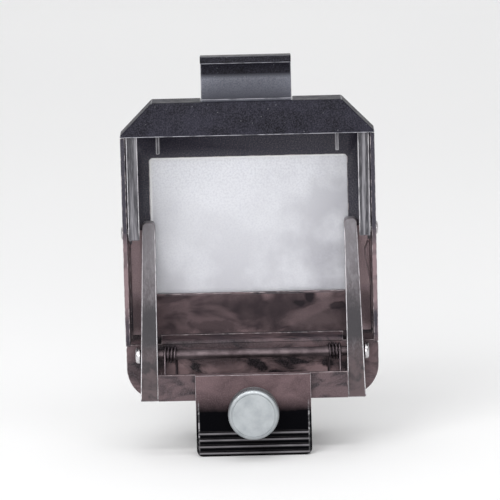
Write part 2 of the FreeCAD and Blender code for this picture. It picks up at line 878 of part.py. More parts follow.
def make_arm(side, name):
    """Channel arm with an eye for the side pin, a foot behind the hood and a slide lug."""
    body = new_body(name)
    web_back = hood_back + s.arm_sheet
    web = sketch_front(body, web_back)
    foot_low = hood_bottom + s.arm_foot_gap
    add_polygon(web, [
        (side * arm_inner, -s.arm_heel_drop),
        (side * arm_outer, -s.arm_heel_drop),
        (side * arm_outer, inside_chamfer_z(arm_outer) - s.arm_foot_gap),
        (side * (inside_chamfer_x(arm_foot_top) - s.arm_foot_gap), arm_foot_top),
        (side * lug_inner, arm_foot_top),
        (side * lug_inner, foot_low),
        (side * arm_inner, foot_low),
    ])
    pad(body, web, s.arm_sheet)
    flange_start = arm_outer - s.arm_side_sheet if side > 0 else -arm_outer
    flange_top = hood_bottom - s.arm_foot_gap
    flange_back = hood_back + s.arm_depth
    flange = sketch_side(body, flange_start)
    add_polygon(flange, [
        (hood_back, -s.arm_heel_drop),
        (hood_back, flange_top),
        (flange_back, flange_top),
        (flange_back, arm_eye * 0.9),
        (-s.pin_depth, arm_eye),
        (-s.pin_depth, -arm_eye),
        (flange_back, arm_eye * -0.9),
    ])
    pad(body, flange, s.arm_side_sheet)
    eye = sketch_side(body, flange_start)
    add_circle(eye, -s.pin_depth, 0, arm_eye)
    pad(body, eye, s.arm_side_sheet)
    lip = sketch_side(body, arm_inner if side > 0 else -arm_inner - s.arm_lip_sheet)
    add_box_outline(lip, hood_back, hood_back + s.arm_lip_depth, -s.arm_heel_drop, foot_low)
    pad(body, lip, s.arm_lip_sheet)
    lug = sketch_side(body, lug_inner if side > 0 else -lug_outer)
    add_box_outline(lug, hood_back, -s.lug_stop, hood_bottom - s.lug_drop, arm_foot_top)
    pad(body, lug, s.lug_sheet)
    pin = sketch_side(body, flange_start)
    add_circle(pin, -s.pin_depth, 0, s.pin_shank + s.running_gap)
    cut_through(body, pin, 4 * s.arm_side_sheet)


def make_finger_tab():
    """Spring sheet behind the hood that curls back and forward into a finger scoop."""
    body = new_body("finger_tab")
    profile = sketch_side(body, -s.tab_width / 2)
    centre_y = hood_back + s.tab_sheet
    centre_z = s.hood_top + s.tab_neck + s.tab_scoop
    outer = s.tab_scoop + s.tab_sheet
    add_scoop_profile(profile, centre_y, centre_z, s.tab_scoop, outer)
    pad(body, profile, s.tab_width)
    lip_front = hood_back - s.tab_lip

    def lip_corner(middle, direction):
        return along_z(direction) and near(middle.y, lip_front)

    round_edges(body, lip_corner, s.tab_corner)


def add_scoop_profile(sketch, centre_y, centre_z, inner, outer):
    """Foot, half-round scoop open to the front and a lip with a hem, as one closed outline."""
    lip = hood_back - s.tab_lip
    foot = hood_bottom + s.tab_foot_rise
    corners = [
        (centre_y, centre_z - outer),
        (centre_y, foot),
        (hood_back, foot),
        (hood_back, centre_z - inner),
        (centre_y, centre_z - inner),
    ]
    top = [
        (centre_y, centre_z + inner),
        (lip + s.tab_sheet, centre_z + inner),
        (lip + s.tab_sheet, centre_z + inner - s.tab_hem),
        (lip, centre_z + inner - s.tab_hem),
        (lip, centre_z + outer),
        (centre_y, centre_z + outer),
    ]
    lines = []
    for run in (corners, top):
        for first, second in zip(run, run[1:]):
            start = V(first[0].value, first[1].value, 0)
            end = V(second[0].value, second[1].value, 0)
            lines.append(sketch.addGeometry(Part.LineSegment(start, end), False))
            pin_point(sketch, lines[-1], 1, first[0], first[1])
            pin_point(sketch, lines[-1], 2, second[0], second[1])
    for radius, line, end in ((inner, lines[3], 2), (outer, lines[0], 1)):
        circle = Part.Circle(V(centre_y.value, centre_z.value, 0), V(0, 0, 1), radius.value)
        number = sketch.addGeometry(Part.ArcOfCircle(circle, -math.pi / 2, math.pi / 2), False)
        pin_point(sketch, number, 3, centre_y, centre_z)
        sketch.addConstraint(Sketcher.Constraint("Coincident", number, 1, line, end))
        rule = Sketcher.Constraint("DistanceX", -1, 1, number, 2, centre_y.value)
        rule = sketch.addConstraint(rule)
        sketch.setExpression("Constraints[" + str(rule) + "]", centre_y.text)


# -------------------------------------------------------- the clamp frame

def between(top_value, foot_value, z):
    """A rail size at a height z, running straight from its top value to its foot value."""
    return top_value + (foot_value - top_value) * ((s.rail_top - z) / (s.rail_top + rail_drop))


def rail_outer_x(z):
    return between(rail_outer, rail_outer + s.rail_flare, z)


def rail_back_y(z):
    return between(-s.rail_top_back, rail_foot_front + s.rail_foot_depth, z)


def rail_front_y(z):
    return between(-s.rail_top_back - s.rail_top_depth, rail_foot_front, z)


def rail_wedge(body, kind, side, top_z, foot_z, wall, front_wall, back_wall):
    """A tapered four-sided block that follows the rail, set in from its faces by the walls."""
    wedge = body.newObject("PartDesign::" + kind, body.Name + kind)
    wedge.Placement = FreeCAD.Placement(V(0, 0, 0), FreeCAD.Rotation(V(1, 0, 0), -90))
    bind(wedge, "Ymin", -size_of(top_z))
    bind(wedge, "Ymax", -size_of(foot_z))
    for prefix, z in (("", top_z), ("2", foot_z)):
        low_x, high_x = rail_inner + wall, rail_outer_x(z) - wall
        if side < 0:
            low_x, high_x = -high_x, -low_x
        bind(wedge, "X" + prefix + "min", low_x)
        bind(wedge, "X" + prefix + "max", high_x)
        bind(wedge, "Z" + prefix + "min", rail_front_y(z) + front_wall)
        bind(wedge, "Z" + prefix + "max", rail_back_y(z) - back_wall)
    doc.recompute()
    return wedge


def make_rail(side, name):
    """Tapered channel, open to the rear, that presses on the slide's side margin."""
    body = new_body(name)
    rail_wedge(body, "AdditiveWedge", side, s.rail_top, -rail_drop, 0, 0, 0)

    def top_corner(middle, direction):
        return along_y(direction) and near(middle.z, s.rail_top)

    round_edges(body, top_corner, s.rail_corner)
    before = body.Shape.Volume
    inside_top = s.rail_top - s.rail_face_sheet
    inside_foot = -rail_drop - s.rail_face_sheet
    rail_wedge(body, "SubtractiveWedge", side, inside_top, inside_foot,
               s.rail_sheet, s.rail_face_sheet, -s.rail_face_sheet)
    if body.Shape.Volume > before - 1:
        raise ValueError("the channel of " + name + " cuts nothing")
    pivot = sketch_side(body, 0)
    add_circle(pivot, -pivot_depth, -pivot_drop, s.rod_radius + s.running_gap)
    cut_through(body, pivot, 2 * s.frame_width)


def add_screw_slot(body, y, length):
    """Upright slot for the clamp screw, so that the frame can swing round it."""
    for centre in (-screw_drop, s.slot_rise - screw_drop):
        hole = sketch_front(body, y)
        add_circle(hole, 0, centre, slot_radius)
        cut_through(body, hole, length)
    flank = sketch_front(body, y)
    add_box_outline(flank, -slot_radius, slot_radius, -screw_drop, s.slot_rise - screw_drop)
    cut_through(body, flank, length)


def make_cross_strip():
    """Strip between the rails, with its ends bent back along them."""
    body = new_body("cross_strip")
    plate = sketch_front(body, strip_back)
    add_box_outline(plate, -rail_inner, rail_inner, -rail_drop, -strip_top_drop)
    pad(body, plate, s.strip_sheet)
    inset = s.strip_end_inset
    for side in (1, -1):
        end = sketch_side(body, rail_inner - s.strip_end_sheet if side > 0 else -rail_inner)
        add_box_outline(end, strip_back, strip_back + s.strip_end_depth, inset - rail_drop, -strip_top_drop - inset)
        pad(body, end, s.strip_end_sheet)
    notch = sketch_front(body, strip_back)
    add_circle(notch, 0, s.slot_rise - screw_drop, slot_radius)
    cut_through(body, notch, 4 * s.strip_sheet)


def make_tongue():
    """Finger tongue on the strip, with a row of grip ribs along its foot."""
    body = new_body("ribbed_tongue")
    half = s.tongue_width / 2
    plate = sketch_front(body, -strip_front)
    add_box_outline(plate, -half, half, -tongue_drop, -strip_top_drop)
    pad(body, plate, s.tongue_sheet)

    def foot_corner(middle, direction):
        return along_y(direction) and near(middle.z, -tongue_drop)

    round_edges(body, foot_corner, s.tongue_corner)
    add_screw_slot(body, -strip_front, 4 * s.tongue_sheet)
    rib_half = half - s.rib_end_inset
    low = s.rib_foot_inset - tongue_drop
    rib = sketch_side(body, -rib_half)
    root = tongue_front + s.rib_height / 4
    add_polygon(rib, [
        (root, low - s.rib_width / 2),
        (tongue_front, low - s.rib_width / 2),
        (tongue_front - s.rib_height, low - s.rib_width / 4),
        (tongue_front - s.rib_height, low + s.rib_width / 4),
        (tongue_front, low + s.rib_width / 2),
        (root, low + s.rib_width / 2),
    ])
    ridge = pad(body, rib, 2 * rib_half)
    row = body.newObject("PartDesign::LinearPattern", "RibRow")
    row.Originals = [ridge]
    row.Direction = (origin_item(body, "Z_Axis"), [""])
    bind(row, "Length", s.rib_pitch * (s.rib_count - 1))
    bind(row, "Occurrences", s.rib_count)
    body.Tip = row
    doc.recompute()


# -------------------------------------------------------- the clamp screw

def make_clamp_screw():
    """Threaded screw with a flat round knob and a fibre washer behind it."""
    steps = [(knob_back - s.screw_socket, screw_tip, s.screw_radius)]
    as_node(turned("clamp_screw", "Y", steps, (0, 0, -screw_drop)), "clamp_screw")
    body = new_body("clamp_knob")
    disc = sketch_front(body, knob_back)
    add_circle(disc, 0, -screw_drop, s.knob_radius)
    pad(body, disc, s.knob_height)
    socket = sketch_front(body, knob_back)
    add_circle(socket, 0, -screw_drop, s.screw_radius)
    pocket(body, socket, s.screw_socket, along=True)
    groove = sketch_front(body, knob_front)
    groove_radius = s.knob_radius - s.knob_groove_inset
    add_circle(groove, 0, -screw_drop, groove_radius)
    add_circle(groove, 0, -screw_drop, groove_radius - s.knob_groove_width)
    pocket(body, groove, s.knob_groove_depth)
    rim = body.newObject("PartDesign::Chamfer", "KnobEdge")
    rim.Base = (rim.BaseFeature, knob_rim_edges(rim.BaseFeature.Shape))
    bind(rim, "Size", s.knob_edge)
    doc.recompute()
    washer = doc.addObject("Part::Cut", "knob_washer")
    place = (0, knob_back, -screw_drop)
    washer_radius = s.knob_radius - s.knob_washer_inset
    washer.Base = turned("KnobWasherDisc", "Y", [(0, s.knob_washer_sheet, washer_radius)], place)
    hole_radius = s.screw_radius + s.running_gap
    washer.Tool = turned("KnobWasherHole", "Y", [(0, s.knob_washer_sheet, hole_radius)], place)
    as_node(washer, "knob_washer")


def knob_rim_edges(shape):
    """The two outer rims of the knob."""
    names = []
    for number, edge in enumerate(shape.Edges, start=1):
        round_edge = isinstance(edge.Curve, Part.Circle) and len(edge.Vertexes) == 1
        if round_edge and near(edge.Curve.Radius, s.knob_radius):
            names.append("Edge" + str(number))
    return names


make_stage_plate()
make_lining()
make_window_parts()
make_leaf_spring()
make_side_pins()
make_hinge_rod()
make_torsion_springs()
make_rail_block()
make_hood()
make_arm(1, "right_arm")
make_arm(-1, "left_arm")
make_finger_tab()
make_rail(1, "right_rail")
make_rail(-1, "left_rail")
make_cross_strip()
make_tongue()
make_clamp_screw()
doc.recompute()


# ---------------------------------------------------------------- writing

def check_document():
    """Stop if any object failed, or if a node has no valid solid."""
    for item in doc.Objects:
        if "Invalid" in item.State or "Error" in item.State:
            raise ValueError("object failed: " + item.Name + " " + str(item.State))
    for node in nodes:
        shape = node.Shape
        if shape.isNull() or not shape.isValid() or not shape.Solids:
            raise ValueError("no valid solid in " + node.Label)


check_document()
os.makedirs("parts", exist_ok=True)
for node in nodes:
    node.Shape.exportStep("parts/" + node.Label + ".step")
    box = node.Shape.BoundBox
    print(node.Label, len(node.Shape.Solids), "solid(s)", round(node.Shape.Volume, 2), "mm3",
          [round(value, 2) for value in (box.XMin, box.XMax, box.YMin, box.YMax, box.ZMin, box.ZMax)])
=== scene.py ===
# %% [markdown]
# # The slide stage of a slide duplicator
#
# A slide duplicator holds a mounted slide in front of a milky window, so that
# a camera with a close-up lens can copy it. This lesson dresses the bare metal
# parts of such a stage with real edges, springs, screws, a velvet lining and
# finishes that show their age.
#
# The scene is in metres, and MM stands for one millimetre. X runs to the
# right, Y away from the viewer and Z up. The origin is on the optical axis, on
# the front of the stage plate.

# %% Load the frame
import math

import bmesh
import bpy
from mathutils import Euler, Matrix, Vector


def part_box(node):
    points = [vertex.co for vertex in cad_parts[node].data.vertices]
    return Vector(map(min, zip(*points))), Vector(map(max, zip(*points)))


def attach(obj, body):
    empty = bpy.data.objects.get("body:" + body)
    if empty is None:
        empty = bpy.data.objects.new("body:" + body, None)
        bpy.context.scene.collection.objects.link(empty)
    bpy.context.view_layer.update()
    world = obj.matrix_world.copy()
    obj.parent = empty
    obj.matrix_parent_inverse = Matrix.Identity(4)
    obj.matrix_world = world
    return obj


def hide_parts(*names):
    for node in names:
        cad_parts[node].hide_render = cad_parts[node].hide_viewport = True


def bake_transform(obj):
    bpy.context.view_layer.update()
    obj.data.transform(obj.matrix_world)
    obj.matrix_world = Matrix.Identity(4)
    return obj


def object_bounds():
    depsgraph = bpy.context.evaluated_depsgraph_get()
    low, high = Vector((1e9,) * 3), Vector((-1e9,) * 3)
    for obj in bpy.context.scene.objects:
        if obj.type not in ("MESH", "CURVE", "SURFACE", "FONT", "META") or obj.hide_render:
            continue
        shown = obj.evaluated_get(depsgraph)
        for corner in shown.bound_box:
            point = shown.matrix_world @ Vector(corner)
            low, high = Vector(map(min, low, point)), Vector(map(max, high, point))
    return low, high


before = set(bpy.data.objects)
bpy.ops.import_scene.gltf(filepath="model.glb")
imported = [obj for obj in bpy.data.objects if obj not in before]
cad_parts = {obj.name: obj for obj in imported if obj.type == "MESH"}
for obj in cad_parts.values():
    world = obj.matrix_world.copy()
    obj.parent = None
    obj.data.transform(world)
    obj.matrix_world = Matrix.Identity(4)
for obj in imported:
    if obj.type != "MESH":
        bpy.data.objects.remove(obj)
cad_box = [list(corner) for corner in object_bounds()]
MM = 0.001

# %% [markdown]
# ## Mixing finishes
#
# Each finish is a small network of nodes in front of one Principled shader.
# The networks share a few moves: soft blotches from a noise texture, a clean
# step between two values, a blend of two colours and a bump. One small class
# keeps those moves in one place, so that every finish below reads like a
# recipe. Sizes and places in a recipe are real ones, in millimetres.

# %% A class for mixing finishes


def tone(red, green, blue):
    """A colour given in the usual 0 to 255 steps, as the light values that nodes use."""
    def light(step):
        share = step / 255
        return share / 12.92 if share <= 0.04045 else ((share + 0.055) / 1.055) ** 2.4
    return (light(red), light(green), light(blue), 1.0)


def add_node(tree, kind, inputs, **settings):
    """A new node: its settings are made first, then its inputs are wired or set."""
    node = tree.nodes.new(kind)
    for label, value in settings.items():
        setattr(node, label, value)
    for label, value in inputs.items():
        if isinstance(value, bpy.types.NodeSocket):
            tree.links.new(value, node.inputs[label])
        else:
            node.inputs[label].default_value = value
    return node


class Recipe:
    """A finish being mixed: its node tree, its main shader and the shared moves."""

    def __init__(self, name, roughness=0.5, metallic=0.0, **sockets):
        self.material = bpy.data.materials.new(name)
        self.material.use_nodes = True
        self.tree = self.material.node_tree
        self.shader = self.tree.nodes["Principled BSDF"]
        for label, value in {"Roughness": roughness, "Metallic": metallic, **sockets}.items():
            self.shader.inputs[label.replace("_", " ")].default_value = value
        self.place = self.tree.nodes.new("ShaderNodeTexCoord").outputs["Object"]

    def add(self, kind, output, inputs, **settings):
        """One output of a new node."""
        return add_node(self.tree, kind, inputs, **settings).outputs[output]

    def mapped(self, stretch, shift):
        """Object coordinates, squeezed and moved."""
        return self.add("ShaderNodeMapping", "Vector", {
            "Vector": self.place, "Location": shift, "Scale": stretch})

    def reach(self, stretch, shift):
        """Distance from the middle of squeezed and moved coordinates."""
        return self.add("ShaderNodeVectorMath", "Value", {0: self.mapped(stretch, shift)},
                        operation="LENGTH")

    def cloud(self, size, detail=4.0, stretch=(1, 1, 1), shift=(0, 0, 0), warp=0.0):
        """Soft blotches about as large as size."""
        return self.add("ShaderNodeTexNoise", "Fac", {
            "Vector": self.mapped(stretch, shift), "Scale": 1 / (size * MM), "Detail": detail,
            "Roughness": 0.55, "Distortion": warp})

    def specks(self, size):
        """Distance to the nearest of many scattered dots, a size apart."""
        return self.add("ShaderNodeTexVoronoi", "Distance", {
            "Vector": self.place, "Scale": 1 / (size * MM)})

    def step(self, value, low, high, start=0.0, stop=1.0):
        """start below low, stop above high, and a slope between them."""
        return self.add("ShaderNodeMapRange", "Result", {
            "Value": value, "From Min": low, "From Max": high, "To Min": start, "To Max": stop})

    def maths(self, operation, first, second=0.0):
        return self.add("ShaderNodeMath", "Value", {0: first, 1: second}, operation=operation)

    def times(self, first, second):
        return self.maths("MULTIPLY", first, second)

    def most(self, first, second):
        return self.maths("MAXIMUM", first, second)

    def axis(self, letter):
        """One coordinate of the surface point, in metres."""
        return self.add("ShaderNodeSeparateXYZ", letter, {"Vector": self.place})

    def along(self, letter, low, high, start=0.0, stop=1.0):
        """A step along one axis."""
        return self.step(self.axis(letter), low * MM, high * MM, start, stop)

    def aside(self, low, high, start=0.0, stop=1.0):
        """A step outwards from the middle, to the left and to the right."""
        away = self.maths("ABSOLUTE", self.axis("X"))
        return self.step(away, low * MM, high * MM, start, stop)

    def mix(self, factor, first, second):
        """first where factor is 0, second where it is 1."""
        return self.add("ShaderNodeMix", 2, {0: factor, 6: first, 7: second}, data_type="RGBA")

    def colour(self, value):
        self.tree.links.new(value, self.shader.inputs["Base Color"])

    def roughness(self, value):
        self.tree.links.new(value, self.shader.inputs["Roughness"])

    def bump(self, *layers):
        """Layers of (height, depth), one bump feeding the next. Gives the material."""
        normal = None
        for height, depth in layers:
            inputs = {"Height": height, "Distance": depth * MM, "Strength": 1.0}
            if normal is not None:
                inputs["Normal"] = normal
            normal = self.add("ShaderNodeBump", "Normal", inputs)
        self.tree.links.new(normal, self.shader.inputs["Normal"])
        return self.material


print("recipe moves:", [m for m in vars(Recipe) if not m.startswith("_")])

# %% [markdown]
# ## Enamel on the hood and the finger tab
#
# The hood and the tab above it are stove-enamelled in a blue black. Real
# enamel is never one colour: it clouds a little, carries dust, and its skin
# has a faint orange peel that breaks up reflections. The tab is glossier,
# because fingers polish it. Below its curve a painted highlight makes it
# pale, and its hem on top is painted nearly black as shade.

# %% Enamel


def enamel(name, deep, pale, roughness, polish, shine, rub_and_painted_light=None):
    """For the tab: a painted highlight's colour, the heights it comes in between, and the hem's
    height, above which painted shade lies.
    """
    mix = Recipe(name, roughness, Specular_IOR_Level=shine)
    clouding = mix.step(mix.cloud(7, 5), 0.35, 0.68)
    grain = mix.cloud(0.28, 2)
    base = mix.mix(clouding, deep, pale)
    if rub_and_painted_light:
        shade, high, low, hem = rub_and_painted_light
        comes = mix.along("Z", low, high, 1.0, 0.0)
        goes = mix.along("Z", low - 3.5, low, 0.5, 1.0)
        # Painted highlight below the curve of the tab.
        base = mix.mix(mix.times(comes, goes), base, shade)
        # Painted shade on the hem, which lies in its own shadow.
        base = mix.mix(mix.along("Z", hem, hem + 0.4, 0.0, 0.7), base, tone(6, 6, 8))
    base = mix.mix(mix.step(grain, 0.4, 0.72, 0.0, 0.6), base, tone(68, 67, 79))
    dust = mix.step(mix.specks(1.6), 0.05, 0.085, 0.5, 0.0)
    mix.colour(mix.mix(dust, base, tone(140, 140, 146)))
    uneven = mix.cloud(2.2, 3)
    mix.roughness(mix.step(uneven, 0.3, 0.7, roughness - polish, roughness + polish))
    return mix.bump((mix.cloud(0.9, 1), 0.006), (grain, 0.003))


hood_enamel = enamel("hood_enamel", tone(12, 11, 18), tone(35, 34, 44), 0.45, 0.08, 0.1)
# The tab's painted highlight, and the height of its hem, which is painted dark as shade.
tab_enamel = enamel("tab_enamel", tone(24, 23, 28), tone(33, 32, 38), 0.34, 0.05, 0.08,
                    (tone(124, 126, 136), 35.8, 34.6, 38.2))
print("enamels:", hood_enamel.name, tab_enamel.name)

# %% [markdown]
# ## Black finish that has browned
#
# The bent sheet parts were dyed black. Below the hinge pins the black turns
# brown, while the parts under the hood stay black. A fade along the height
# decides how brown a point is, and blotches break its border. A painted
# shadow crosses one band of height between the window and the hinge, and
# there every dyed part is darker again. Painted light makes the middle of the
# apron paler, but for a few dark marks of painted shade. Painted light also
# makes the walls a little paler than the plate between them.

# %% Browned black


def soft_marks(mix, marks):
    """Ovals with a soft, uneven rim. A mark is x, z, width, height and strength."""
    uneven = mix.step(mix.cloud(2.5, 3), 0.3, 0.7, -0.14, 0.14)
    whole = 0.0
    for x, z, width, height, strength in marks:
        away = mix.reach((1 / (width * MM), 0, 1 / (height * MM)), (-x / width, 0, -z / height))
        mark = mix.step(mix.maths("ADD", away, uneven), 0.25, 0.66, strength, 0.0)
        whole = mix.most(whole, mark)
    return whole


def painted_shade_and_rub_band(mix):
    """1 within the band of height that takes a painted shadow and worn chips, 0 outside."""
    wander = mix.step(mix.cloud(11, 3, warp=0.6), 0.25, 0.75, -2.2 * MM, 2.2 * MM)
    height = mix.maths("ADD", mix.axis("Z"), wander)
    low = mix.step(height, -26.5 * MM, -23.5 * MM)
    high = mix.step(height, -18.5 * MM, -15.0 * MM, 1.0, 0.0)
    return mix.times(low, high)


def apron_middle(mix):
    """1 on the apron between the springs, 0 on the rest of the stage."""
    across = mix.aside(17, 20, 1.0, 0.0)
    return mix.times(across, mix.along("Z", -31, -28, 1.0, 0.0))


def aged_dye(mix, brown, patch, fade_low, fade_high, blotch, apron_painted_light=0.0):
    """Black above fade_high, brown with darker patches below fade_low."""
    wander = mix.step(mix.cloud(9, 3), 0.0, 1.0, -2.5 * MM, 2.5 * MM)
    height = mix.maths("ADD", mix.axis("Z"), wander)
    age = mix.step(height, fade_low * MM, fade_high * MM, 1.0, 0.0)
    blotches = mix.step(mix.cloud(blotch, 5, stretch=(0.7, 1, 1.3), warp=0.8), 0.4, 0.54)
    aged = mix.mix(blotches, patch, brown)
    if apron_painted_light:
        # Painted light makes the middle of the apron and the walls paler, and dark marks of
        # painted shade lie on the apron.
        pale = mix.times(mix.times(apron_middle(mix), blotches), apron_painted_light)
        aged = mix.mix(pale, aged, tone(186, 158, 160))
        aged = mix.mix(soft_marks(mix, APRON_MARKS), aged, tone(30, 26, 31))
        walls = mix.times(mix.aside(26, 27, 0.0, 0.22), mix.along("Z", -20, -16))
        aged = mix.mix(walls, aged, tone(190, 164, 168))
    # Painted shadow: the band between window and hinge is darker.
    aged = mix.mix(mix.times(painted_shade_and_rub_band(mix), 0.7), aged, BLACK_DYE)
    return mix.mix(age, BLACK_DYE, aged)


def browned_black(name, *dye):
    """The whole finish of a sheet part, from what aged_dye asks for."""
    mix = Recipe(name, 0.5, Specular_IOR_Level=0.25)
    base = aged_dye(mix, *dye)
    grain = mix.cloud(0.3, 3)
    mix.colour(mix.mix(mix.step(grain, 0.45, 0.8, 0.0, 0.4), base, tone(124, 112, 118)))
    mix.roughness(mix.step(mix.cloud(3, 4), 0.3, 0.7, 0.42, 0.6))
    return mix.bump((mix.cloud(1.3, 2), 0.008), (grain, 0.004))


BLACK_DYE = tone(43, 43, 54)
# The stage's brown, its patches, the heights of its fade and the size of its blotches.
STAGE_DYE = (tone(101, 83, 86), tone(36, 30, 34), -4, 1, 6)
# Marks of painted shade on the apron: x, z, width, height and strength, in mm.
APRON_MARKS = (
    (-7.0, -30.0, 17.0, 4.0, 0.55), (-22.0, -30.5, 6.0, 3.0, 0.8), (14.0, -29.5, 9.0, 2.6, 0.4),
    (-9.0, -26.3, 26.0, 2.8, 0.65), (-26.5, -31.0, 6.0, 6.0, 0.5), (26.0, -26.5, 5.0, 3.0, 0.5))
stage_finish = browned_black("stage_finish", *STAGE_DYE, 0.55)
strip_finish = browned_black("strip_finish", tone(89, 73, 76), tone(46, 38, 42), 20, 30, 5)
print("browned:", stage_finish.name, strip_finish.name)

# %% [markdown]
# The tongue goes the other way round: its plate is brown above the knob, but
# its lower end is black. The crowns of its grip ribs and its side rims carry a
# painted highlight there.

# %% Tongue finish


def rib_crown_highlights(mix):
    """1 on the crowns of the ribs, which stand proud of the plate, 0 elsewhere."""
    crowns = mix.along("Y", -18.22, -18.1, 1.0, 0.0)
    wear = mix.step(mix.cloud(1.5, 3, stretch=(0.3, 1, 1)), 0.3, 0.6, 0.55, 1.0)
    return mix.times(crowns, wear)


mix = Recipe("tongue_finish", 0.42, Specular_IOR_Level=0.02)
wander = mix.step(mix.cloud(5, 3), 0.0, 1.0, -1.0 * MM, 1.0 * MM)
age = mix.step(mix.maths("ADD", mix.axis("Z"), wander), -39.8 * MM, -35.8 * MM)
blotches = mix.step(mix.cloud(7, 4, warp=0.8), 0.34, 0.62)
brown = mix.mix(blotches, tone(82, 68, 71), tone(106, 88, 91))
base = mix.mix(age, tone(4, 4, 7), brown)
# Painted highlight on the crowns of the grip ribs.
base = mix.mix(rib_crown_highlights(mix), base, tone(118, 116, 120))
# Painted highlight on the side rims, broken into chips, where the tongue is black.
side_rim_highlights = mix.times(mix.aside(12.2, 12.3), mix.aside(12.5, 12.6, 1.0, 0.0))
chips = mix.step(mix.cloud(0.9, 2), 0.46, 0.58, 0.15, 0.7)
chips = mix.times(chips, mix.step(age, 0.0, 0.8, 1.0, 0.0))
base = mix.mix(mix.times(side_rim_highlights, chips), base, tone(176, 174, 178))
grain = mix.cloud(0.3, 3)
speckled = mix.times(mix.step(grain, 0.45, 0.8, 0.0, 0.4), age)
mix.colour(mix.mix(speckled, base, tone(136, 118, 120)))
mix.roughness(mix.step(mix.cloud(2.5, 3), 0.3, 0.7, 0.38, 0.52))
tongue_finish = mix.bump((mix.cloud(1.1, 2), 0.006), (grain, 0.003))
print("tongue:", tongue_finish.name)

# %% [markdown]
# ## Rails and arms
#
# The rails and arms slide and swing, so their black is worn to a grey that
# runs in streaks along their length. A noise texture squeezed along Z gives
# those streaks. The rails are nearly black in the band of painted shadow, and
# their feet are as brown as the apron beside them.

# %% Streaked grey


def streaked(name, top, low, low_z, foot, gleam):
    """Grey that falls from top to low at low_z, with streaks that gleam and a brown foot."""
    mix = Recipe(name, 0.42, Specular_IOR_Level=0.3)
    fall = mix.along("Z", low_z, -2)
    streaks = mix.step(mix.cloud(0.8, 3, stretch=(1, 1, 0.03), shift=(3, 0, 0)), 0.5, 0.62)
    share = mix.along("X", -24, 24, 0.44, 0.5)
    rub_and_painted_light = mix.step(mix.cloud(4, 4, stretch=(1, 1, 0.4)), 0.35, 0.7)
    base = mix.mix(fall, low, top)
    share = mix.times(share, mix.step(fall, 0.0, 1.0, 0.3, 1.0))
    base = mix.mix(mix.times(streaks, share), base, gleam)
    base = mix.mix(mix.times(rub_and_painted_light, 0.3), base, low)
    fine = mix.cloud(0.2, 2, stretch=(1, 1, 0.08))
    base = mix.mix(mix.step(fine, 0.45, 0.75, 0.0, 0.25), base, gleam)
    # Painted shadow across the band between window and hinge.
    base = mix.mix(mix.times(painted_shade_and_rub_band(mix), 0.9), base, tone(42, 39, 44))
    footed = mix.along("Z", -30, -25, 1.0, 0.0)
    patches = mix.step(mix.cloud(3.2, 5, warp=0.8), 0.38, 0.55)
    mix.colour(mix.mix(footed, base, mix.mix(patches, tone(42, 35, 39), foot)))
    mix.roughness(mix.step(streaks, 0.0, 1.0, 0.36, 0.5))
    return mix.bump((streaks, 0.003), (fine, 0.002))


rail_finish = streaked("rail_finish", tone(128, 124, 129), tone(52, 42, 46), -20,
                       tone(76, 62, 65), tone(150, 147, 152))
arm_finish = streaked("arm_finish", tone(42, 41, 47), tone(46, 44, 50), -4,
                      tone(62, 59, 65), tone(176, 174, 180))
print("streaked:", rail_finish.name, arm_finish.name)

# %% [markdown]
# ## Worn edges
#
# Wear shows first on edges, where the black is gone and bare metal shines in
# a thin broken line. Every sheet part gets a small real bevel below, and the
# bevel's own faces carry this second finish: bare metal where the noise is
# high, the darker coat where it is low. A painted shade dulls the heads of the
# rails, the feet of the arms and the upper edges of the hood and the tab, and
# the lugs of the arms and the feet of the rails and the strip are dulled too.

# %% Worn edge finishes


def worn_edge(name, metal, low, high, coat=None, dull=None, shade=None):
    """Metal where the noise is over high, coat or aged dye where it is under low.

    dull is a function that gives 1 where the edge is dulled to shade, a painted shade on heads,
    feet and upper edges.
    """
    mix = Recipe(name, 0.36, 0.15)
    wear = mix.step(mix.cloud(1.8, 4), low, high)
    nicks = mix.step(mix.cloud(0.35, 2), 0.4, 0.66)
    worn = mix.most(mix.times(wear, 0.9), mix.times(nicks, 0.3))
    if coat is None:
        chips = mix.step(mix.cloud(0.6, 2, shift=(1, 0, 0)), 0.52, 0.6)
        worn = mix.most(worn, mix.times(painted_shade_and_rub_band(mix), chips))
        coat = aged_dye(mix, *STAGE_DYE)
    base = mix.mix(worn, coat, metal)
    if dull:
        base = mix.mix(mix.times(dull(mix), 0.85), base, shade)
    mix.colour(base)
    mix.roughness(mix.step(nicks, 0.0, 1.0, 0.31, 0.51))
    return mix.bump((nicks, 0.01))


FEET = (-36.6, -37.0)


def over(low, high):
    """The part of a piece that lies over these heights, or under them if low is over high."""
    return lambda mix: mix.along("Z", low, high)


def rail_ends(mix):
    """The rounded heads of the rails, and their square feet."""
    return mix.most(over(-1.6, 0.2)(mix), over(*FEET)(mix))


def arm_ends(mix):
    """The feet of the arms, and the lugs between them that stop the slide mount."""
    return mix.most(over(1.0, -0.2)(mix), mix.aside(20.8, 21.2, 0.75, 0.0))


# A painted shade dulls the feet of the arms, the heads of the rails and the upper edges of the
# hood and the tab.
arm_edge = worn_edge("arm_edge", tone(216, 214, 218), 0.26, 0.56, tone(120, 118, 123),
                     arm_ends, tone(58, 57, 63))
rail_edge = worn_edge("rail_edge", tone(220, 217, 221), 0.24, 0.54, tone(118, 114, 118),
                      rail_ends, tone(96, 88, 92))
hood_edge = worn_edge("hood_edge", tone(172, 172, 180), 0.3, 0.55, tone(50, 50, 59),
                      over(23.2, 24.0), tone(46, 46, 55))
tab_edge = worn_edge("tab_edge", tone(150, 150, 158), 0.32, 0.56, tone(70, 70, 78),
                     over(39.6, 40.4), tone(52, 52, 58))
stage_edge = worn_edge("stage_edge", tone(186, 176, 178), 0.46, 0.62)
strip_edge = worn_edge("strip_edge", tone(180, 166, 168), 0.44, 0.66, tone(92, 78, 81),
                       over(*FEET), tone(86, 72, 75))
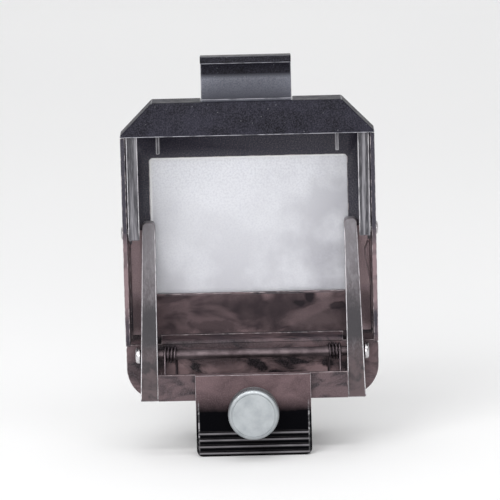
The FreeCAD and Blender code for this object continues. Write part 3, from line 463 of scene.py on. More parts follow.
dark_edge = worn_edge("dark_edge", tone(110, 108, 112), 0.45, 0.72, tone(30, 30, 34))

# Bright beside the brown plate, and below it only a painted highlight on the crowns of the ribs.
mix = Recipe("tongue_edge", 0.4, Specular_IOR_Level=0.1)
nicks = mix.step(mix.cloud(1.2, 3), 0.3, 0.6, 0.35, 1.0)
upper = mix.along("Z", -44, -38, 0.04, 1.0)
worn = mix.most(mix.times(nicks, upper), mix.times(rib_crown_highlights(mix), 0.2))
mix.colour(mix.mix(worn, tone(6, 6, 9), tone(186, 180, 184)))
tongue_edge = mix.bump((nicks, 0.008))
print("edges:", [m.name for m in bpy.data.materials if m.name.endswith("_edge")])

# %% [markdown]
# ## Window, velvet and felt
#
# The window is opal glass: white all through and matt in front. Painted
# light makes its top paler, and faint clouds darken it towards its lower
# right corner and its sides. Two of its rims carry a painted highlight.
# Light goes a little way in, which subsurface scattering gives.
#
# Velvet has a pile that lies in different directions. Lighter and darker
# swathes with soft borders are painted in for how light falls on such a pile
# and its soft folds, and dark soft marks are the painted shade of folds, with
# paler marks beside them. Sheen brightens it where it turns away.

# %% Opal glass
mix = Recipe("opal", 0.34, Subsurface_Weight=1.0, Subsurface_Radius=(1.0, 1.0, 1.0),
             Subsurface_Scale=1.2 * MM, Specular_IOR_Level=0.35)
clouds = mix.step(mix.cloud(9, 5, warp=0.15), 0.38, 0.62)
fine = mix.cloud(0.45, 4)
# Darker towards the bottom, towards the right and at the lower sides, in clouds.
height = mix.along("Z", -16, 12, 1.0, 0.0)
across = mix.along("X", 0, 22)
lower_right_darkening = mix.maths("ADD", mix.times(height, 0.5), mix.times(across, 0.5))
lower_right_darkening = mix.times(lower_right_darkening, mix.step(clouds, 0.0, 1.0, 0.25, 1.0))
low_side = mix.times(mix.aside(18, 24, 0.0, 0.45), mix.along("Z", 1, 7, 1.0, 0.0))
lower_right_darkening = mix.most(lower_right_darkening, mix.times(low_side, clouds))
# Painted light: the top of the window is paler.
painted_top_light = mix.mix(mix.along("Z", 2, 13), tone(218, 219, 223), tone(236, 237, 241))
base = mix.mix(lower_right_darkening, painted_top_light, tone(160, 159, 167))
base = mix.mix(mix.step(fine, 0.42, 0.72, 0.0, 0.45), base, tone(190, 190, 198))
# Painted highlight on the top rim and the left rim.
rim_highlight = mix.most(mix.along("Z", 15.0, 15.3), mix.along("X", -22.1, -21.8, 1.0, 0.0))
mix.colour(mix.mix(mix.times(rim_highlight, 0.8), base, tone(252, 252, 254)))
mix.roughness(mix.step(clouds, 0.0, 1.0, 0.3, 0.44))
opal = mix.bump((fine, 0.002))
print("window:", opal.name)

# %% Velvet and felt
# Marks of painted shade from folds, and paler marks: x, z, width, height and strength, in mm.
FOLD_SHADE_MARKS = (
    (11.2, -18.3, 4.2, 2.4, 0.95), (13.2, -17.0, 3.2, 4.0, 0.95), (19.9, -19.1, 7.0, 2.6, 0.9),
    (4.2, -19.3, 10.0, 2.8, 0.6), (-1.0, -22.2, 22.0, 6.0, 0.6), (-20.0, -22.0, 9.0, 5.5, 0.6),
    (-9.0, -23.2, 18.0, 4.4, 0.75))
PALE_MARKS = ((16.8, -17.6, 3.6, 5.0, 0.75), (14.5, -22.2, 13.0, 4.6, 0.6))

mix = Recipe("velvet", 0.85, Sheen_Weight=0.35, Sheen_Roughness=0.45,
             Specular_IOR_Level=0.15)
# Painted light and shade: lighter and darker swathes.
painted_swathes = mix.step(mix.cloud(10, 3, stretch=(0.6, 1, 1.4), warp=0.5), 0.44, 0.54)
broad = mix.cloud(5, 5)
pile = mix.cloud(0.16, 2)
base = mix.mix(painted_swathes, tone(60, 49, 53), tone(144, 121, 124))
base = mix.mix(mix.step(broad, 0.35, 0.7, 0.0, 0.5), base, tone(128, 109, 111))
# Painted light: paler at the sides, down in the channels beside the rails.
base = mix.mix(mix.aside(23.5, 25.0), base, tone(194, 170, 174))
base = mix.mix(soft_marks(mix, PALE_MARKS), base, tone(158, 136, 138))
# Painted shade: the band between window and hinge, and the marks of folds.
painted_shade = mix.most(mix.times(painted_shade_and_rub_band(mix), 0.6), soft_marks(mix, FOLD_SHADE_MARKS))
base = mix.mix(mix.step(pile, 0.4, 0.7, 0.0, 0.55), base, tone(62, 52, 56))
mix.colour(mix.mix(painted_shade, base, tone(30, 25, 30)))
velvet = mix.bump((pile, 0.05), (broad, 0.03))

mix = Recipe("felt", 0.95, Sheen_Weight=0.2, Specular_IOR_Level=0.1)
fibres = mix.cloud(0.12, 3, warp=1.2)
mix.colour(mix.mix(mix.step(fibres, 0.35, 0.7), tone(22, 20, 22), tone(52, 48, 51)))
felt = mix.bump((fibres, 0.06))
print("soft finishes:", velvet.name, felt.name)

# %% [markdown]
# ## Bare metals
#
# Pins, screws and the knob are turned in a lathe, and the cutter leaves fine
# rings round the turning axis. The distance from that axis drives a wave,
# and the wave drives a very shallow bump. The springs are blued steel, and
# the block behind the apron is anodised with straight milling marks.

# %% Turned metal


def turned_metal(name, pale, dull, roughness, centre, axis, ring=0.12 * MM):
    """Lathe rings, a ring apart, round a line along axis ("X" or "Y") through centre."""
    mix = Recipe(name, roughness, 1.0)
    stretch = (0, 1, 1) if axis == "X" else (1, 0, 1)
    shift = [-part if keep else 0 for part, keep in zip(centre, stretch)]
    rings = mix.maths("SINE", mix.times(mix.reach(stretch, shift), math.tau / ring))
    bands = mix.cloud(0.5, 2)
    tarnish = mix.step(mix.cloud(3, 5), 0.38, 0.68)
    mix.colour(mix.mix(tarnish, pale, dull))
    mix.roughness(mix.step(bands, 0.3, 0.7, roughness - 0.05, roughness + 0.08))
    return mix.bump((rings, 0.0012), (bands, 0.0012))


KNOB_CENTRE = (0, 0, -39.3 * MM)
PIN_CENTRE = (0, -8.0 * MM, 0)
ROD_CENTRE = (0, -10.0 * MM, -27.8 * MM)
knob_metal = turned_metal("knob_metal", tone(168, 172, 175), tone(150, 155, 158), 0.4,
                          KNOB_CENTRE, "Y", 0.3 * MM)
pin_steel = turned_metal("pin_steel", tone(214, 212, 214), tone(176, 172, 174), 0.26,
                         PIN_CENTRE, "X")
rod_steel = turned_metal("rod_steel", tone(108, 97, 100), tone(76, 67, 70), 0.48,
                         ROD_CENTRE, "X")
print("turned:", [m.name for m in (knob_metal, pin_steel, rod_steel)])

# %% Other metals


def plain_metal(name, pale, dull, roughness, stretch=(1, 1, 1), metallic=1.0):
    mix = Recipe(name, roughness, metallic)
    grain = mix.cloud(0.3, 3, stretch=stretch)
    tarnish = mix.step(mix.cloud(2.4, 4), 0.35, 0.7)
    mix.colour(mix.mix(tarnish, pale, dull))
    mix.roughness(mix.step(grain, 0.3, 0.7, roughness - 0.06, roughness + 0.1))
    return mix.bump((grain, 0.002))


leaf_finish = plain_metal("leaf_finish", tone(92, 76, 79), tone(66, 55, 58), 0.4, metallic=0.3)
screw_steel = plain_metal("screw_steel", tone(186, 184, 186), tone(142, 138, 140), 0.3)
spring_steel = plain_metal("spring_steel", tone(104, 94, 98), tone(70, 62, 66), 0.34)
block_finish = plain_metal("block_finish", tone(44, 42, 45), tone(30, 29, 32), 0.42,
                           stretch=(0.04, 1, 1), metallic=0.6)
frame_black = plain_metal("frame_black", tone(34, 33, 36), tone(24, 24, 27), 0.5, metallic=0.0)
print("metals:", [m.name for m in (screw_steel, spring_steel, leaf_finish, block_finish)])

# %% Vulcanised fibre
mix = Recipe("fibre", 0.6)
strands = mix.cloud(0.25, 4, stretch=(1, 4, 1), warp=0.5)
mix.colour(mix.mix(mix.step(strands, 0.3, 0.7), tone(96, 52, 42), tone(66, 36, 30)))
fibre = mix.bump((strands, 0.01))
print("washer:", fibre.name)

# %% [markdown]
# ## Giving the sheet parts real edges
#
# The frame's solids have perfectly sharp edges, which no metal has, and a
# sharp edge catches no light. Each part is copied, its loose triangles are
# merged into whole faces, and a Bevel modifier rounds what is sharper than
# a given angle. The modifier also puts its new faces on the piece's second
# material, so the worn edge finish lands exactly where wear belongs.

# %% Copying a part with real edges


def link(piece):
    bpy.context.scene.collection.objects.link(piece)
    return piece


def settled(piece):
    """The piece with its modifiers applied, as a plain mesh."""
    shaped = bpy.data.meshes.new_from_object(
        piece.evaluated_get(bpy.context.evaluated_depsgraph_get()))
    piece.modifiers.clear()
    old, piece.data = piece.data, shaped
    bpy.data.meshes.remove(old)
    shaped.name = piece.name
    return piece


def touching_groups(edges):
    """Edges gathered into groups that hang together by their ends."""
    left, groups = set(edges), []
    while left:
        group, fresh = [], [left.pop()]
        while fresh:
            edge = fresh.pop()
            group.append(edge)
            near = {other for end in edge.verts for other in end.link_edges} & left
            left -= near
            fresh.extend(near)
        groups.append(group)
    return groups


SMALL_HOLE = 5.5 * MM


def mark_edges(piece, angle):
    """Weighs sharp edges for the bevel, but not rims of small holes, which heads cover."""
    shaper = bmesh.new()
    shaper.from_mesh(piece.data)
    weight = shaper.edges.layers.float.new("bevel_weight_edge")
    sharp = [edge for edge in shaper.edges if edge.calc_face_angle(0) > math.radians(angle)]
    for group in touching_groups(sharp):
        corners = [end.co for edge in group for end in edge.verts]
        spans = [max(along) - min(along) for along in zip(*corners)]
        if max(spans) > SMALL_HOLE:
            for edge in group:
                edge[weight] = 1.0
    shaper.to_mesh(piece.data)
    shaper.free()


def soften(piece, edge, angle=28):
    """Rounds edges sharper than angle by edge mm, on the second material."""
    mark_edges(piece, angle)
    piece.data.shade_smooth()
    rounding = piece.modifiers.new("edges", "BEVEL")
    rounding.width = edge * MM
    rounding.segments = 2
    rounding.limit_method = "WEIGHT"
    rounding.use_clamp_overlap = False
    rounding.harden_normals = True
    rounding.material = 1 if len(piece.data.materials) > 1 else -1
    return settled(piece)


def merged_copy(node, name, whole=True):
    """A new object with the node's shape, its flat faces whole or left in triangles."""
    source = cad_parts[node].data
    mesh = bpy.data.meshes.new(name)
    mesh.from_pydata(
        [v.co[:] for v in source.vertices], [], [p.vertices[:] for p in source.polygons])
    cleaner = bmesh.new()
    cleaner.from_mesh(mesh)
    bmesh.ops.remove_doubles(cleaner, verts=cleaner.verts, dist=0.002 * MM)
    if whole:
        bmesh.ops.dissolve_limit(
            cleaner, angle_limit=math.radians(0.4), verts=cleaner.verts, edges=cleaner.edges)
    cleaner.to_mesh(mesh)
    cleaner.free()
    return link(bpy.data.objects.new(name, mesh))


def stands_for(piece, body, node):
    """The piece rides on a body and takes the place of a frame node."""
    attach(piece, body)
    if node:
        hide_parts(node)
    print(f"{piece.name}: {len(piece.data.polygons)} faces")


def edged_part(node, body, finish, edge_finish, edge, whole=True):
    """Stands for a frame node: same shape, with rounded and worn edges."""
    piece = merged_copy(node, node + "_worn", whole)
    piece.data.materials.append(finish)
    piece.data.materials.append(edge_finish)
    soften(piece, edge)
    stands_for(piece, body, node)


# %% [markdown]
# ## The sheet parts
#
# The stage is the bent sheet that carries everything, with the frames for
# the window behind it. The bail is the hood, its arms and its finger tab.
# The clamp frame is a pair of rails, a cross strip and the ribbed tongue. The
# tongue's face is cut by grooves from side to side. Merged whole, its outline
# would cross itself at the bevel, so this piece keeps its triangles.

# %% Stage sheet, frames and block
edged_part("stage_plate", "stage", stage_finish, stage_edge, 0.12)
for ring in ("pane_frame", "rear_frame"):
    edged_part(ring, "stage", frame_black, dark_edge, 0.15)
edged_part("felt_gasket", "stage", felt, felt, 0.08)
edged_part("opal_pane", "stage", opal, opal, 0.15)
edged_part("rail_block", "stage", block_finish, dark_edge, 0.2)
edged_part("side_leaf_spring", "stage", leaf_finish, leaf_finish, 0.05)

# %% Bail
SIDES = ((1, "right"), (-1, "left"))

edged_part("hood_plate", "bail", hood_enamel, hood_edge, 0.18)
for side, name in SIDES:
    edged_part(name + "_arm", "bail", arm_finish, arm_edge, 0.16)
edged_part("finger_tab", "bail", tab_enamel, tab_edge, 0.16)

# %% Clamp frame
for side, name in SIDES:
    edged_part(name + "_rail", "clamp_frame", rail_finish, rail_edge, 0.18)
edged_part("cross_strip", "clamp_frame", strip_finish, strip_edge, 0.12)
edged_part("ribbed_tongue", "clamp_frame", tongue_finish, tongue_edge, 0.07,
           whole=False)

# %% [markdown]
# ## Turned pieces
#
# Anything made in a lathe is a profile spun round a line. The profile is a
# list of (distance along the line, radius), and the rings it makes are
# joined to a closed skin. The pins, the rod, its cap, the knob and its
# washer are all made this way.

# %% Spinning a profile


def skinned(name, skin, finishes=(), sharp=0):
    """A new object from a closed skin, its faces turned outwards."""
    bmesh.ops.recalc_face_normals(skin, faces=skin.faces)
    mesh = bpy.data.meshes.new(name)
    skin.to_mesh(mesh)
    skin.free()
    if sharp:
        mesh.shade_smooth()
        mesh.set_sharp_from_angle(angle=math.radians(sharp))
    for finish in finishes:
        mesh.materials.append(finish)
    return link(bpy.data.objects.new(name, mesh))


def join_rings(skin, pairs):
    """Faces between each pair of rings, one of which may be a single point."""
    for first, second in pairs:
        sides = max(len(first), len(second))
        for side in range(sides):
            far = (side + 1) % sides
            corners = [first[side % len(first)], first[far % len(first)],
                       second[far % len(second)], second[side % len(second)]]
            skin.faces.new(list(dict.fromkeys(corners)))


def spun(name, axis, profile, place, finishes, sides=72):
    """A closed skin: profile, in mm, spun round a line along axis through place."""
    skin = bmesh.new()
    rings = []
    for along, radius in ((MM * part, MM * away) for part, away in profile):
        corners = []
        for side in range(sides if radius > 0 else 1):
            angle = math.tau * side / sides
            across, up = radius * math.cos(angle), radius * math.sin(angle)
            spot = (along, across, up) if axis == "X" else (across, along, up)
            corners.append(skin.verts.new(Vector(spot) + Vector(place)))
        rings.append(corners)
    pairs = list(zip(rings, rings[1:]))
    if profile[0][1] > 0:
        pairs.append((rings[-1], rings[0]))
    join_rings(skin, pairs)
    return skinned(name, skin, finishes, 30)


# %% Side pins
PIN_PROFILE = (
    (25.95, 0), (25.95, 1.3), (26.1, 1.48), (26.45, 1.48), (26.55, 1.4), (26.55, 1.05),
    (28.5, 1.05), (28.5, 1.5), (28.65, 1.5), (28.8, 1.4), (28.9, 1.2), (28.96, 0.9),
    (29.0, 0.45), (29.0, 0))
for side, name in SIDES:
    pin = spun(name + "_pin_turned", "X", [(side * along, away) for along, away in PIN_PROFILE],
               PIN_CENTRE, [pin_steel], 48)
    stands_for(pin, "stage", name + "_side_pin")

# %% Hinge rod and its cap
HEAD_END = -25.4 * MM
rod = spun("rod_turned", "X", (
    (-26.43, 0), (-26.43, 1.2), (-26.35, 1.55), (-26.13, 1.82), (-25.83, 1.9), (-25.51, 1.9),
    (-25.43, 1.82), (-25.43, 1.1), (26.15, 1.1), (26.38, 0.92), (26.43, 0.8), (26.43, 0)),
    ROD_CENTRE, [rod_steel, pin_steel], 48)
for face in rod.data.polygons:
    face.material_index = 1 if face.center.x < HEAD_END else 0
cap = spun("rod_cap_turned", "X", (
    (25.43, 1.12), (25.43, 1.82), (25.53, 1.9), (25.9, 1.9), (26.15, 1.8), (26.3, 1.6),
    (26.35, 1.4), (26.35, 1.12)), ROD_CENTRE, [pin_steel], 48)
stands_for(rod, "stage", "hinge_rod")
stands_for(cap, "stage", "rod_cap")

# %% [markdown]
# ## The clamp screw and its thread
#
# The screw that the knob turns has a fine thread of 0.7 mm. Seen along its
# length a thread is a saw of ridges, and round it the saw is pushed along by
# one pitch. So every point of a tube is moved in or out by a triangle wave
# of its place along the screw less its share of a turn. That makes one
# closed skin with a true helix, which a stack of rings would not be.

# %% Clamp screw
THREAD_START, THREAD_END = -22.6 * MM, -1.9 * MM
THREAD_RADIUS, THREAD_DEPTH, PITCH = 2.0 * MM, 0.38 * MM, 0.7 * MM
THREAD_SIDES, CUTS_A_TURN = 36, 6

skin = bmesh.new()
length = THREAD_END - THREAD_START
rows = round(length / PITCH * CUTS_A_TURN)
rings = []
for row in range(rows + 1):
    along = THREAD_START + length * row / rows
    taper = min(1.0, row / CUTS_A_TURN, (rows - row) / CUTS_A_TURN)
    corners = []
    for side in range(THREAD_SIDES):
        turn = side / THREAD_SIDES
        saw = abs(((along - THREAD_START) / PITCH - turn) % 1.0 * 2 - 1)
        reach = THREAD_RADIUS - THREAD_DEPTH * (1 - saw * taper)
        spot = (reach * math.cos(math.tau * turn), along, reach * math.sin(math.tau * turn))
        corners.append(skin.verts.new(Vector(spot) + Vector(KNOB_CENTRE)))
    rings.append(corners)
join_rings(skin, zip(rings, rings[1:]))
skin.faces.new(rings[0])
skin.faces.new(rings[-1])
screw = skinned("clamp_screw_threaded", skin, [screw_steel], 38)
stands_for(screw, "knob", "clamp_screw")
print("thread turns:", round((THREAD_END - THREAD_START) / PITCH, 1))

# %% [markdown]
# ## Geometry Nodes for what repeats
#
# Screws and the knurl of the knob repeat one small shape at many places. One
# tree does that: it takes a mesh whose points are the places, puts the small
# shape on each, makes the copies real and gives them their finish. The turn
# about Y is an input, so a screw's slot can lie at any angle, and for the
# knurl each copy is turned to its own place on the rim.

# %% Helpers for node trees


def new_tree(name, inputs):
    """A geometry tree with named inputs, and its two end nodes."""
    tree = bpy.data.node_groups.new(name, "GeometryNodeTree")
    tree.interface.new_socket("Geometry", in_out="INPUT", socket_type="NodeSocketGeometry")
    for label, kind in inputs:
        tree.interface.new_socket(label, in_out="INPUT", socket_type="NodeSocket" + kind)
    tree.interface.new_socket("Geometry", in_out="OUTPUT", socket_type="NodeSocketGeometry")
    return tree, tree.nodes.new("NodeGroupInput").outputs, tree.nodes.new("NodeGroupOutput")


def finish_tree(tree, shape, finish, end):
    """The end of every tree here: copies made real, and their finish."""
    real = add_node(tree, "GeometryNodeRealizeInstances", {"Geometry": shape})
    done = add_node(tree, "GeometryNodeSetMaterial", {
        "Geometry": real.outputs["Geometry"], "Material": finish})
    tree.links.new(done.outputs["Geometry"], end.inputs["Geometry"])
    return tree


def grown(name, tree, base, values):
    """Runs a tree on the mesh base with the named values, and keeps the plain result."""
    piece = link(bpy.data.objects.new(name, base))
    growth = piece.modifiers.new("growth", "NODES")
    growth.node_group = tree
    for item in tree.interface.items_tree:
        if item.in_out == "INPUT" and item.name in values:
            growth[item.identifier] = values[item.name]
    return settled(piece)


def path_mesh(name, spots, joined=True):
    """A mesh of points, in metres, in a row or loose."""
    mesh = bpy.data.meshes.new(name)
    joins = [(n, n + 1) for n in range(len(spots) - 1)] if joined else []
    mesh.from_pydata([tuple(spot) for spot in spots], joins, [])
    return mesh


# %% The repeating tree
# Copies of one shape on every point, each turned about Y.
tree, start, end = new_tree("repeat_on_points", [
    ("Shape", "Object"), ("Turn", "Float"), ("Turn Step", "Float"), ("Finish", "Material")])
shape = add_node(tree, "GeometryNodeObjectInfo", {"Object": start["Shape"]})
count = tree.nodes.new("GeometryNodeInputIndex")
share = add_node(tree, "ShaderNodeMath", {
    0: count.outputs["Index"], 1: start["Turn Step"], 2: start["Turn"]},
    operation="MULTIPLY_ADD")
turn = add_node(tree, "ShaderNodeCombineXYZ", {"Y": share.outputs["Value"]})
copies = add_node(tree, "GeometryNodeInstanceOnPoints", {
    "Points": start["Geometry"], "Instance": shape.outputs["Geometry"],
    "Rotation": turn.outputs["Vector"]})
repeat_tree = finish_tree(tree, copies.outputs["Instances"], start["Finish"], end)
print("repeating tree:", len(repeat_tree.nodes), "nodes")

# %% [markdown]
# ## Slotted screws
#
# Four screws hold the window frames and two hold the block. Their cheese
# heads have a saw-cut slot. One head is spun, a thin box is cut from it with
# a Boolean, and the tree puts it at every place.

# %% A slotted screw


def slotted_screw(name, head_radius, head_height, shank_radius, shank_length, facing):
    """A screw along Y, in mm, its head's underside at y = 0. facing, 1 or -1, is its way."""
    profile = [
        (-shank_length, 0.0), (-shank_length, shank_radius * 0.8),
        (-shank_length + shank_radius * 0.3, shank_radius), (0.0, shank_radius),
        (0.0, head_radius), (head_height * 0.55, head_radius),
        (head_height * 0.8, head_radius * 0.95), (head_height * 0.95, head_radius * 0.82),
        (head_height, head_radius * 0.6), (head_height, 0.0)]
    screw = spun(name, "Y", [(facing * along, away) for along, away in profile], (0, 0, 0), [], 40)
    blade = bmesh.new()
    size = [part * MM for part in (head_radius * 3, head_height * 0.9, head_radius * 0.26)]
    place = Matrix.Translation((0, facing * head_height * MM, 0))
    bmesh.ops.create_cube(blade, size=1, matrix=place @ Matrix.Diagonal((*size, 1)))
    cutter = skinned(name + "_blade", blade)
    cut = screw.modifiers.new("slot", "BOOLEAN")
    cut.operation = "DIFFERENCE"
    cut.solver = "EXACT"
    cut.object = cutter
    settled(screw)
    bpy.data.objects.remove(cutter)
    screw.data.set_sharp_from_angle(angle=math.radians(30))
    return screw


def repeated(name, shape, spots, turn, finish, body, node=None, turn_step=0.0):
    """Copies of shape on the spots, riding on a body, and the shape is put away."""
    piece = grown(name, repeat_tree, path_mesh(name, spots, joined=False), {
        "Shape": shape, "Turn": turn, "Turn Step": turn_step, "Finish": finish})
    bpy.data.objects.remove(shape)
    stands_for(piece, body, node)


# %% Window frame screws and block screws
# A screw's numbers: head radius and height, shank radius and length, the head's way.
PANE_SCREW_X, PANE_SCREW_Y, PANE_SCREW_Z = 26.0 * MM, 4.2 * MM, 19.8 * MM
pane_spots = [(x * PANE_SCREW_X, PANE_SCREW_Y, z * PANE_SCREW_Z)
              for x, z in ((-1, 1), (1, 1), (-1, -1), (1, -1))]
repeated("window_screws", slotted_screw("pane_screw", 1.6, 1.0, 1.0, 3.95, 1),
         pane_spots, 0.7, screw_steel, "stage", "pane_screws", 0.9)

BLOCK_SCREW_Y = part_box("block_screws")[0].y + 1.1 * MM
block_spots = [(x * 8.0 * MM, BLOCK_SCREW_Y, -35.0 * MM) for x in (-1, 1)]
repeated("apron_screws", slotted_screw("block_screw", 2.0, 1.1, 1.25, 7.0, -1),
         block_spots, 0.3, screw_steel, "stage", "block_screws", 1.1)

# %% [markdown]
# ## The knob
#
# The knob is turned aluminium: a flat face with a fine groove near the rim,
# rounded corners and a knurled edge for the fingers. The body is spun, then
# the same tree sets a thin ridge on the rim every few degrees, each turned
# by its share of the circle.

# %% Knob body
knob = spun("knob_turned", "Y", (
    (-24.0, 0), (-24.0, 4.74), (-23.8, 4.78), (-23.8, 4.97), (-24.0, 5.01), (-24.0, 5.38),
    (-23.9, 5.56), (-23.72, 5.65), (-23.5, 5.62), (-23.45, 5.6), (-20.15, 5.6), (-20.1, 5.65),
    (-19.8, 5.65), (-19.65, 5.5), (-19.6, 5.3), (-19.6, 2.0), (-22.6, 2.0), (-22.6, 0)),
    KNOB_CENTRE, [knob_metal], 96)
stands_for(knob, "knob", "clamp_knob")

# %% Knurl of the knob
RIDGES = 88


def ridge(name, reach, low, high, width, height):
    """One rounded rib along Y, its foot at radius reach on the +X side."""
    skin = bmesh.new()
    half = width / 2
    section = [(reach - 0.1 * MM, -half), (reach + height * 0.7, -half * 0.7),
               (reach + height, 0), (reach + height * 0.7, half * 0.7), (reach - 0.1 * MM, half)]
    ends = [[skin.verts.new((x, y, z)) for x, z in section] for y in (low, high)]
    for first, second in zip(range(5), [1, 2, 3, 4, 0]):
        skin.faces.new([ends[0][first], ends[0][second], ends[1][second], ends[1][first]])
    skin.faces.new(ends[0])
    skin.faces.new(ends[1])
    return skinned(name, skin)


knurl_ridge = ridge("ridge", reach=5.6 * MM, low=-23.4 * MM, high=-20.2 * MM,
                    width=0.3 * MM, height=0.14 * MM)
repeated("knob_knurl", knurl_ridge, [KNOB_CENTRE] * RIDGES, 0.0, knob_metal, "knob",
         turn_step=math.tau / RIDGES)

# %% Fibre washer
washer = spun("washer_turned", "Y", (
    (-19.6, 2.05), (-19.6, 4.2), (-19.52, 4.36), (-19.4, 4.4), (-19.2, 4.4), (-19.08, 4.36),
    (-19.0, 4.2), (-19.0, 2.05)), KNOB_CENTRE, [fibre], 64)
stands_for(washer, "screw_feed", "knob_washer")

# %% [markdown]
# ## Torsion springs
#
# A coil of wire sits on the rod at each end. One leg presses on the apron,
# the other pushes the cross strip forward, so the rails grip a slide. The
# wire's line is written as a path of points: straight leg, helix, straight
# leg. A second tree turns a path into round wire with closed ends.

# %% The wire tree
# Round wire along a path of edges.
tree, start, end = new_tree("wire_on_path", [
    ("Wire Radius", "Float"), ("Sides", "Int"), ("Finish", "Material")])
line = add_node(tree, "GeometryNodeMeshToCurve", {"Mesh": start["Geometry"]})
section = add_node(tree, "GeometryNodeCurvePrimitiveCircle", {
    "Resolution": start["Sides"], "Radius": start["Wire Radius"]})
sweep = add_node(tree, "GeometryNodeCurveToMesh", {
    "Fill Caps": True, "Curve": line.outputs["Curve"],
    "Profile Curve": section.outputs["Curve"]})
wire_on_path = finish_tree(tree, sweep.outputs["Mesh"], start["Finish"], end)
print("wire tree:", len(wire_on_path.nodes), "nodes")

# %% Springs
COIL_RADIUS, WIRE_RADIUS, LEG = 1.65 * MM, 0.3 * MM, 7.95 * MM
COIL_TURNS, COIL_CUTS = 3.3994, 28
REAR_ANGLE = math.radians(11.2)
INNER_LEG, OUTER_LEG = 17.25 * MM, 19.8 * MM


def spring_path():
    """Points from the end of the rear leg, round the rod, to the end of the front leg."""
    spots = []
    steps = round(COIL_TURNS * COIL_CUTS)
    for step in range(steps + 1):
        share = step / steps
        angle = REAR_ANGLE + math.tau * COIL_TURNS * share
        spots.append(Vector((
            INNER_LEG + (OUTER_LEG - INNER_LEG) * share,
            ROD_CENTRE[1] + COIL_RADIUS * math.cos(angle),
            ROD_CENTRE[2] + COIL_RADIUS * math.sin(angle))))
    rear_way = Vector((0, math.sin(REAR_ANGLE), -math.cos(REAR_ANGLE)))
    last = REAR_ANGLE + math.tau * COIL_TURNS
    front_way = Vector((0, -math.sin(last), math.cos(last)))
    return ([spots[0] + rear_way * LEG, spots[0] + rear_way * LEG / 2] + spots
            + [spots[-1] + front_way * LEG / 2, spots[-1] + front_way * LEG])


for side, name in SIDES:
    route = [Vector((side * p.x, p.y, p.z)) for p in spring_path()]
    spring = grown(name + "_spring_wire", wire_on_path, path_mesh(name + "_spring_wire", route), {
        "Wire Radius": WIRE_RADIUS, "Sides": 14, "Finish": spring_steel})
    spring.data.set_sharp_from_angle(angle=math.radians(40))
    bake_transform(spring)
    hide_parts(name + "_torsion_spring")
    print(f"{spring.name}: {len(spring.data.polygons)} faces")

# %% [markdown]
# ## The velvet lining
#
# A strip of velvet on card lines the stage below the window, so that a slide
# mount slides on pile and not on metal. The flat outline comes from the
# frame's own node. It is cut into a fine grid, its pile is raised in small
# waves, and its edges are left soft.

# %% Velvet lining
COLUMNS, ROWS, PILE = 48, 24, 0.02 * MM
WAVE_ACROSS, WAVE_TWIST, WAVE_UP = 900, 700, 1100
low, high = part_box("velvet_lining")
piece = merged_copy("velvet_lining", "velvet_pile")
piece.data.materials.append(velvet)
shaper = bmesh.new()
shaper.from_mesh(piece.data)
for axis, count in ((0, COLUMNS), (2, ROWS)):
    for number in range(1, count):
        spot, way = [0, 0, 0], [0, 0, 0]
        spot[axis] = low[axis] + (high[axis] - low[axis]) * number / count
        way[axis] = 1
        everything = shaper.verts[:] + shaper.edges[:] + shaper.faces[:]
        bmesh.ops.bisect_plane(shaper, geom=everything, plane_co=spot, plane_no=way)
for corner in shaper.verts:
    if corner.co.y < (low.y + high.y) / 2:
        wave = math.sin(corner.co.x * WAVE_ACROSS + 2 * math.sin(corner.co.z * WAVE_TWIST))
        corner.co.y += PILE * (1 + wave * math.sin(corner.co.z * WAVE_UP + 1))
shaper.to_mesh(piece.data)
shaper.free()
lining = soften(piece, 0.1, 50)
stands_for(lining, "stage", "velvet_lining")

# %% [markdown]
# ## Floor, light and camera
#
# A plain pale floor curves up into a backdrop behind the object. Five large,
# soft lamps light it: the key from above and to the left, one from the
# front, one overhead, a wide band that lays a long highlight on the curved
# tab and a weak one from behind.

# %% Floor and backdrop


def backdrop(level):
    """A floor that bends up behind the object, in metres."""
    mesh = bpy.data.meshes.new("backdrop")
    skin = bmesh.new()
    front, reach, bend, rise, side = -2.5, 1.6, 0.35, 2.0, 3.0
    line = [(front, 0.0)] + [
        (reach - bend + bend * math.sin(a), bend - bend * math.cos(a))
        for a in (math.pi / 2 * n / 16 for n in range(17))] + [(reach, rise)]
    rows = [[skin.verts.new((x, y, level + z)) for x in (-side, side)] for y, z in line]
    for first, second in zip(rows, rows[1:]):
        skin.faces.new([first[0], first[1], second[1], second[0]])
    skin.to_mesh(mesh)
    skin.free()
    mesh.shade_smooth()
    mix = Recipe("floor", 0.9)
    mix.colour(mix.mix(mix.cloud(200, 2), tone(249, 249, 250), tone(252, 252, 252)))
    mesh.materials.append(mix.material)
    return link(bpy.data.objects.new("backdrop", mesh))


floor_level = cad_box[0][2]
backdrop(floor_level)
print("floor at", round(floor_level, 4))

# %% Lamps


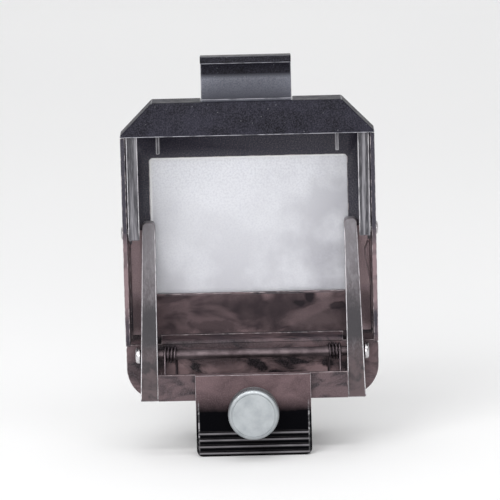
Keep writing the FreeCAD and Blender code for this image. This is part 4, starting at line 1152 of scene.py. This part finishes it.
def soft_lamp(name, spot, aim, width, height, power):
    light = bpy.data.lights.new(name, "AREA")
    light.shape = "RECTANGLE"
    light.size, light.size_y = width, height
    light.energy = power
    lamp = link(bpy.data.objects.new(name, light))
    lamp.location = spot
    lamp.rotation_euler = (Vector(aim) - Vector(spot)).to_track_quat("-Z", "Y").to_euler()


# Name, place, aim, width and height in metres, watts.
soft_lamp("key", (-0.45, -0.85, 0.55), (0, 0, 0), 0.55, 0.55, 3.8)
soft_lamp("front", (0.0, -1.35, 0.24), (0, 0, 0), 0.6, 0.6, 5.2)
soft_lamp("overhead", (0.0, 0.1, 1.1), (0, 0, 0), 0.7, 0.7, 3.0)
soft_lamp("band", (0.0, -0.6, 0.75), (0, 0, 0.03), 1.3, 0.4, 3.4)
soft_lamp("behind", (0.0, 0.8, 0.35), (0, 0, 0), 0.7, 0.7, 0.7)

world = bpy.data.worlds.new("studio")
world.use_nodes = True
sky = world.node_tree.nodes["Background"].inputs
sky["Color"].default_value = (1, 1, 1, 1)
sky["Strength"].default_value = 0.38
bpy.context.scene.world = world

# %% Camera
AZIMUTH, ELEVATION, ROLL = 0.3, 10.0, 1.4
DISTANCE, VIEW_WIDTH, SENSOR_MM = 1.1, 0.113, 36
low, high = (Vector(corner) for corner in cad_box)
middle = (low + high) / 2
turn, lift = math.radians(AZIMUTH), math.radians(ELEVATION)
back = Vector((math.sin(turn) * math.cos(lift), -math.cos(turn) * math.cos(lift), math.sin(lift)))
lens = bpy.data.cameras.new("camera")
lens.lens = SENSOR_MM / (VIEW_WIDTH / DISTANCE)
lens.clip_start, lens.clip_end = 0.01, 20
camera = link(bpy.data.objects.new("camera", lens))
camera.location = middle + back * DISTANCE
camera.rotation_mode = "QUATERNION"
camera.rotation_quaternion = (-back).to_track_quat("-Z", "Y") @ Euler(
    (0, 0, math.radians(-ROLL))).to_quaternion()
bpy.context.scene.camera = camera
bpy.context.scene.view_settings.view_transform = "Standard"
print("camera at", [round(part, 3) for part in camera.location])

# %% [markdown]
# ## The frame's size
#
# The last line prints the frame's own box. The dressed object has to stay
# inside the frame's own box.

# %% Sizes and the end
print("frame box:", cad_box)
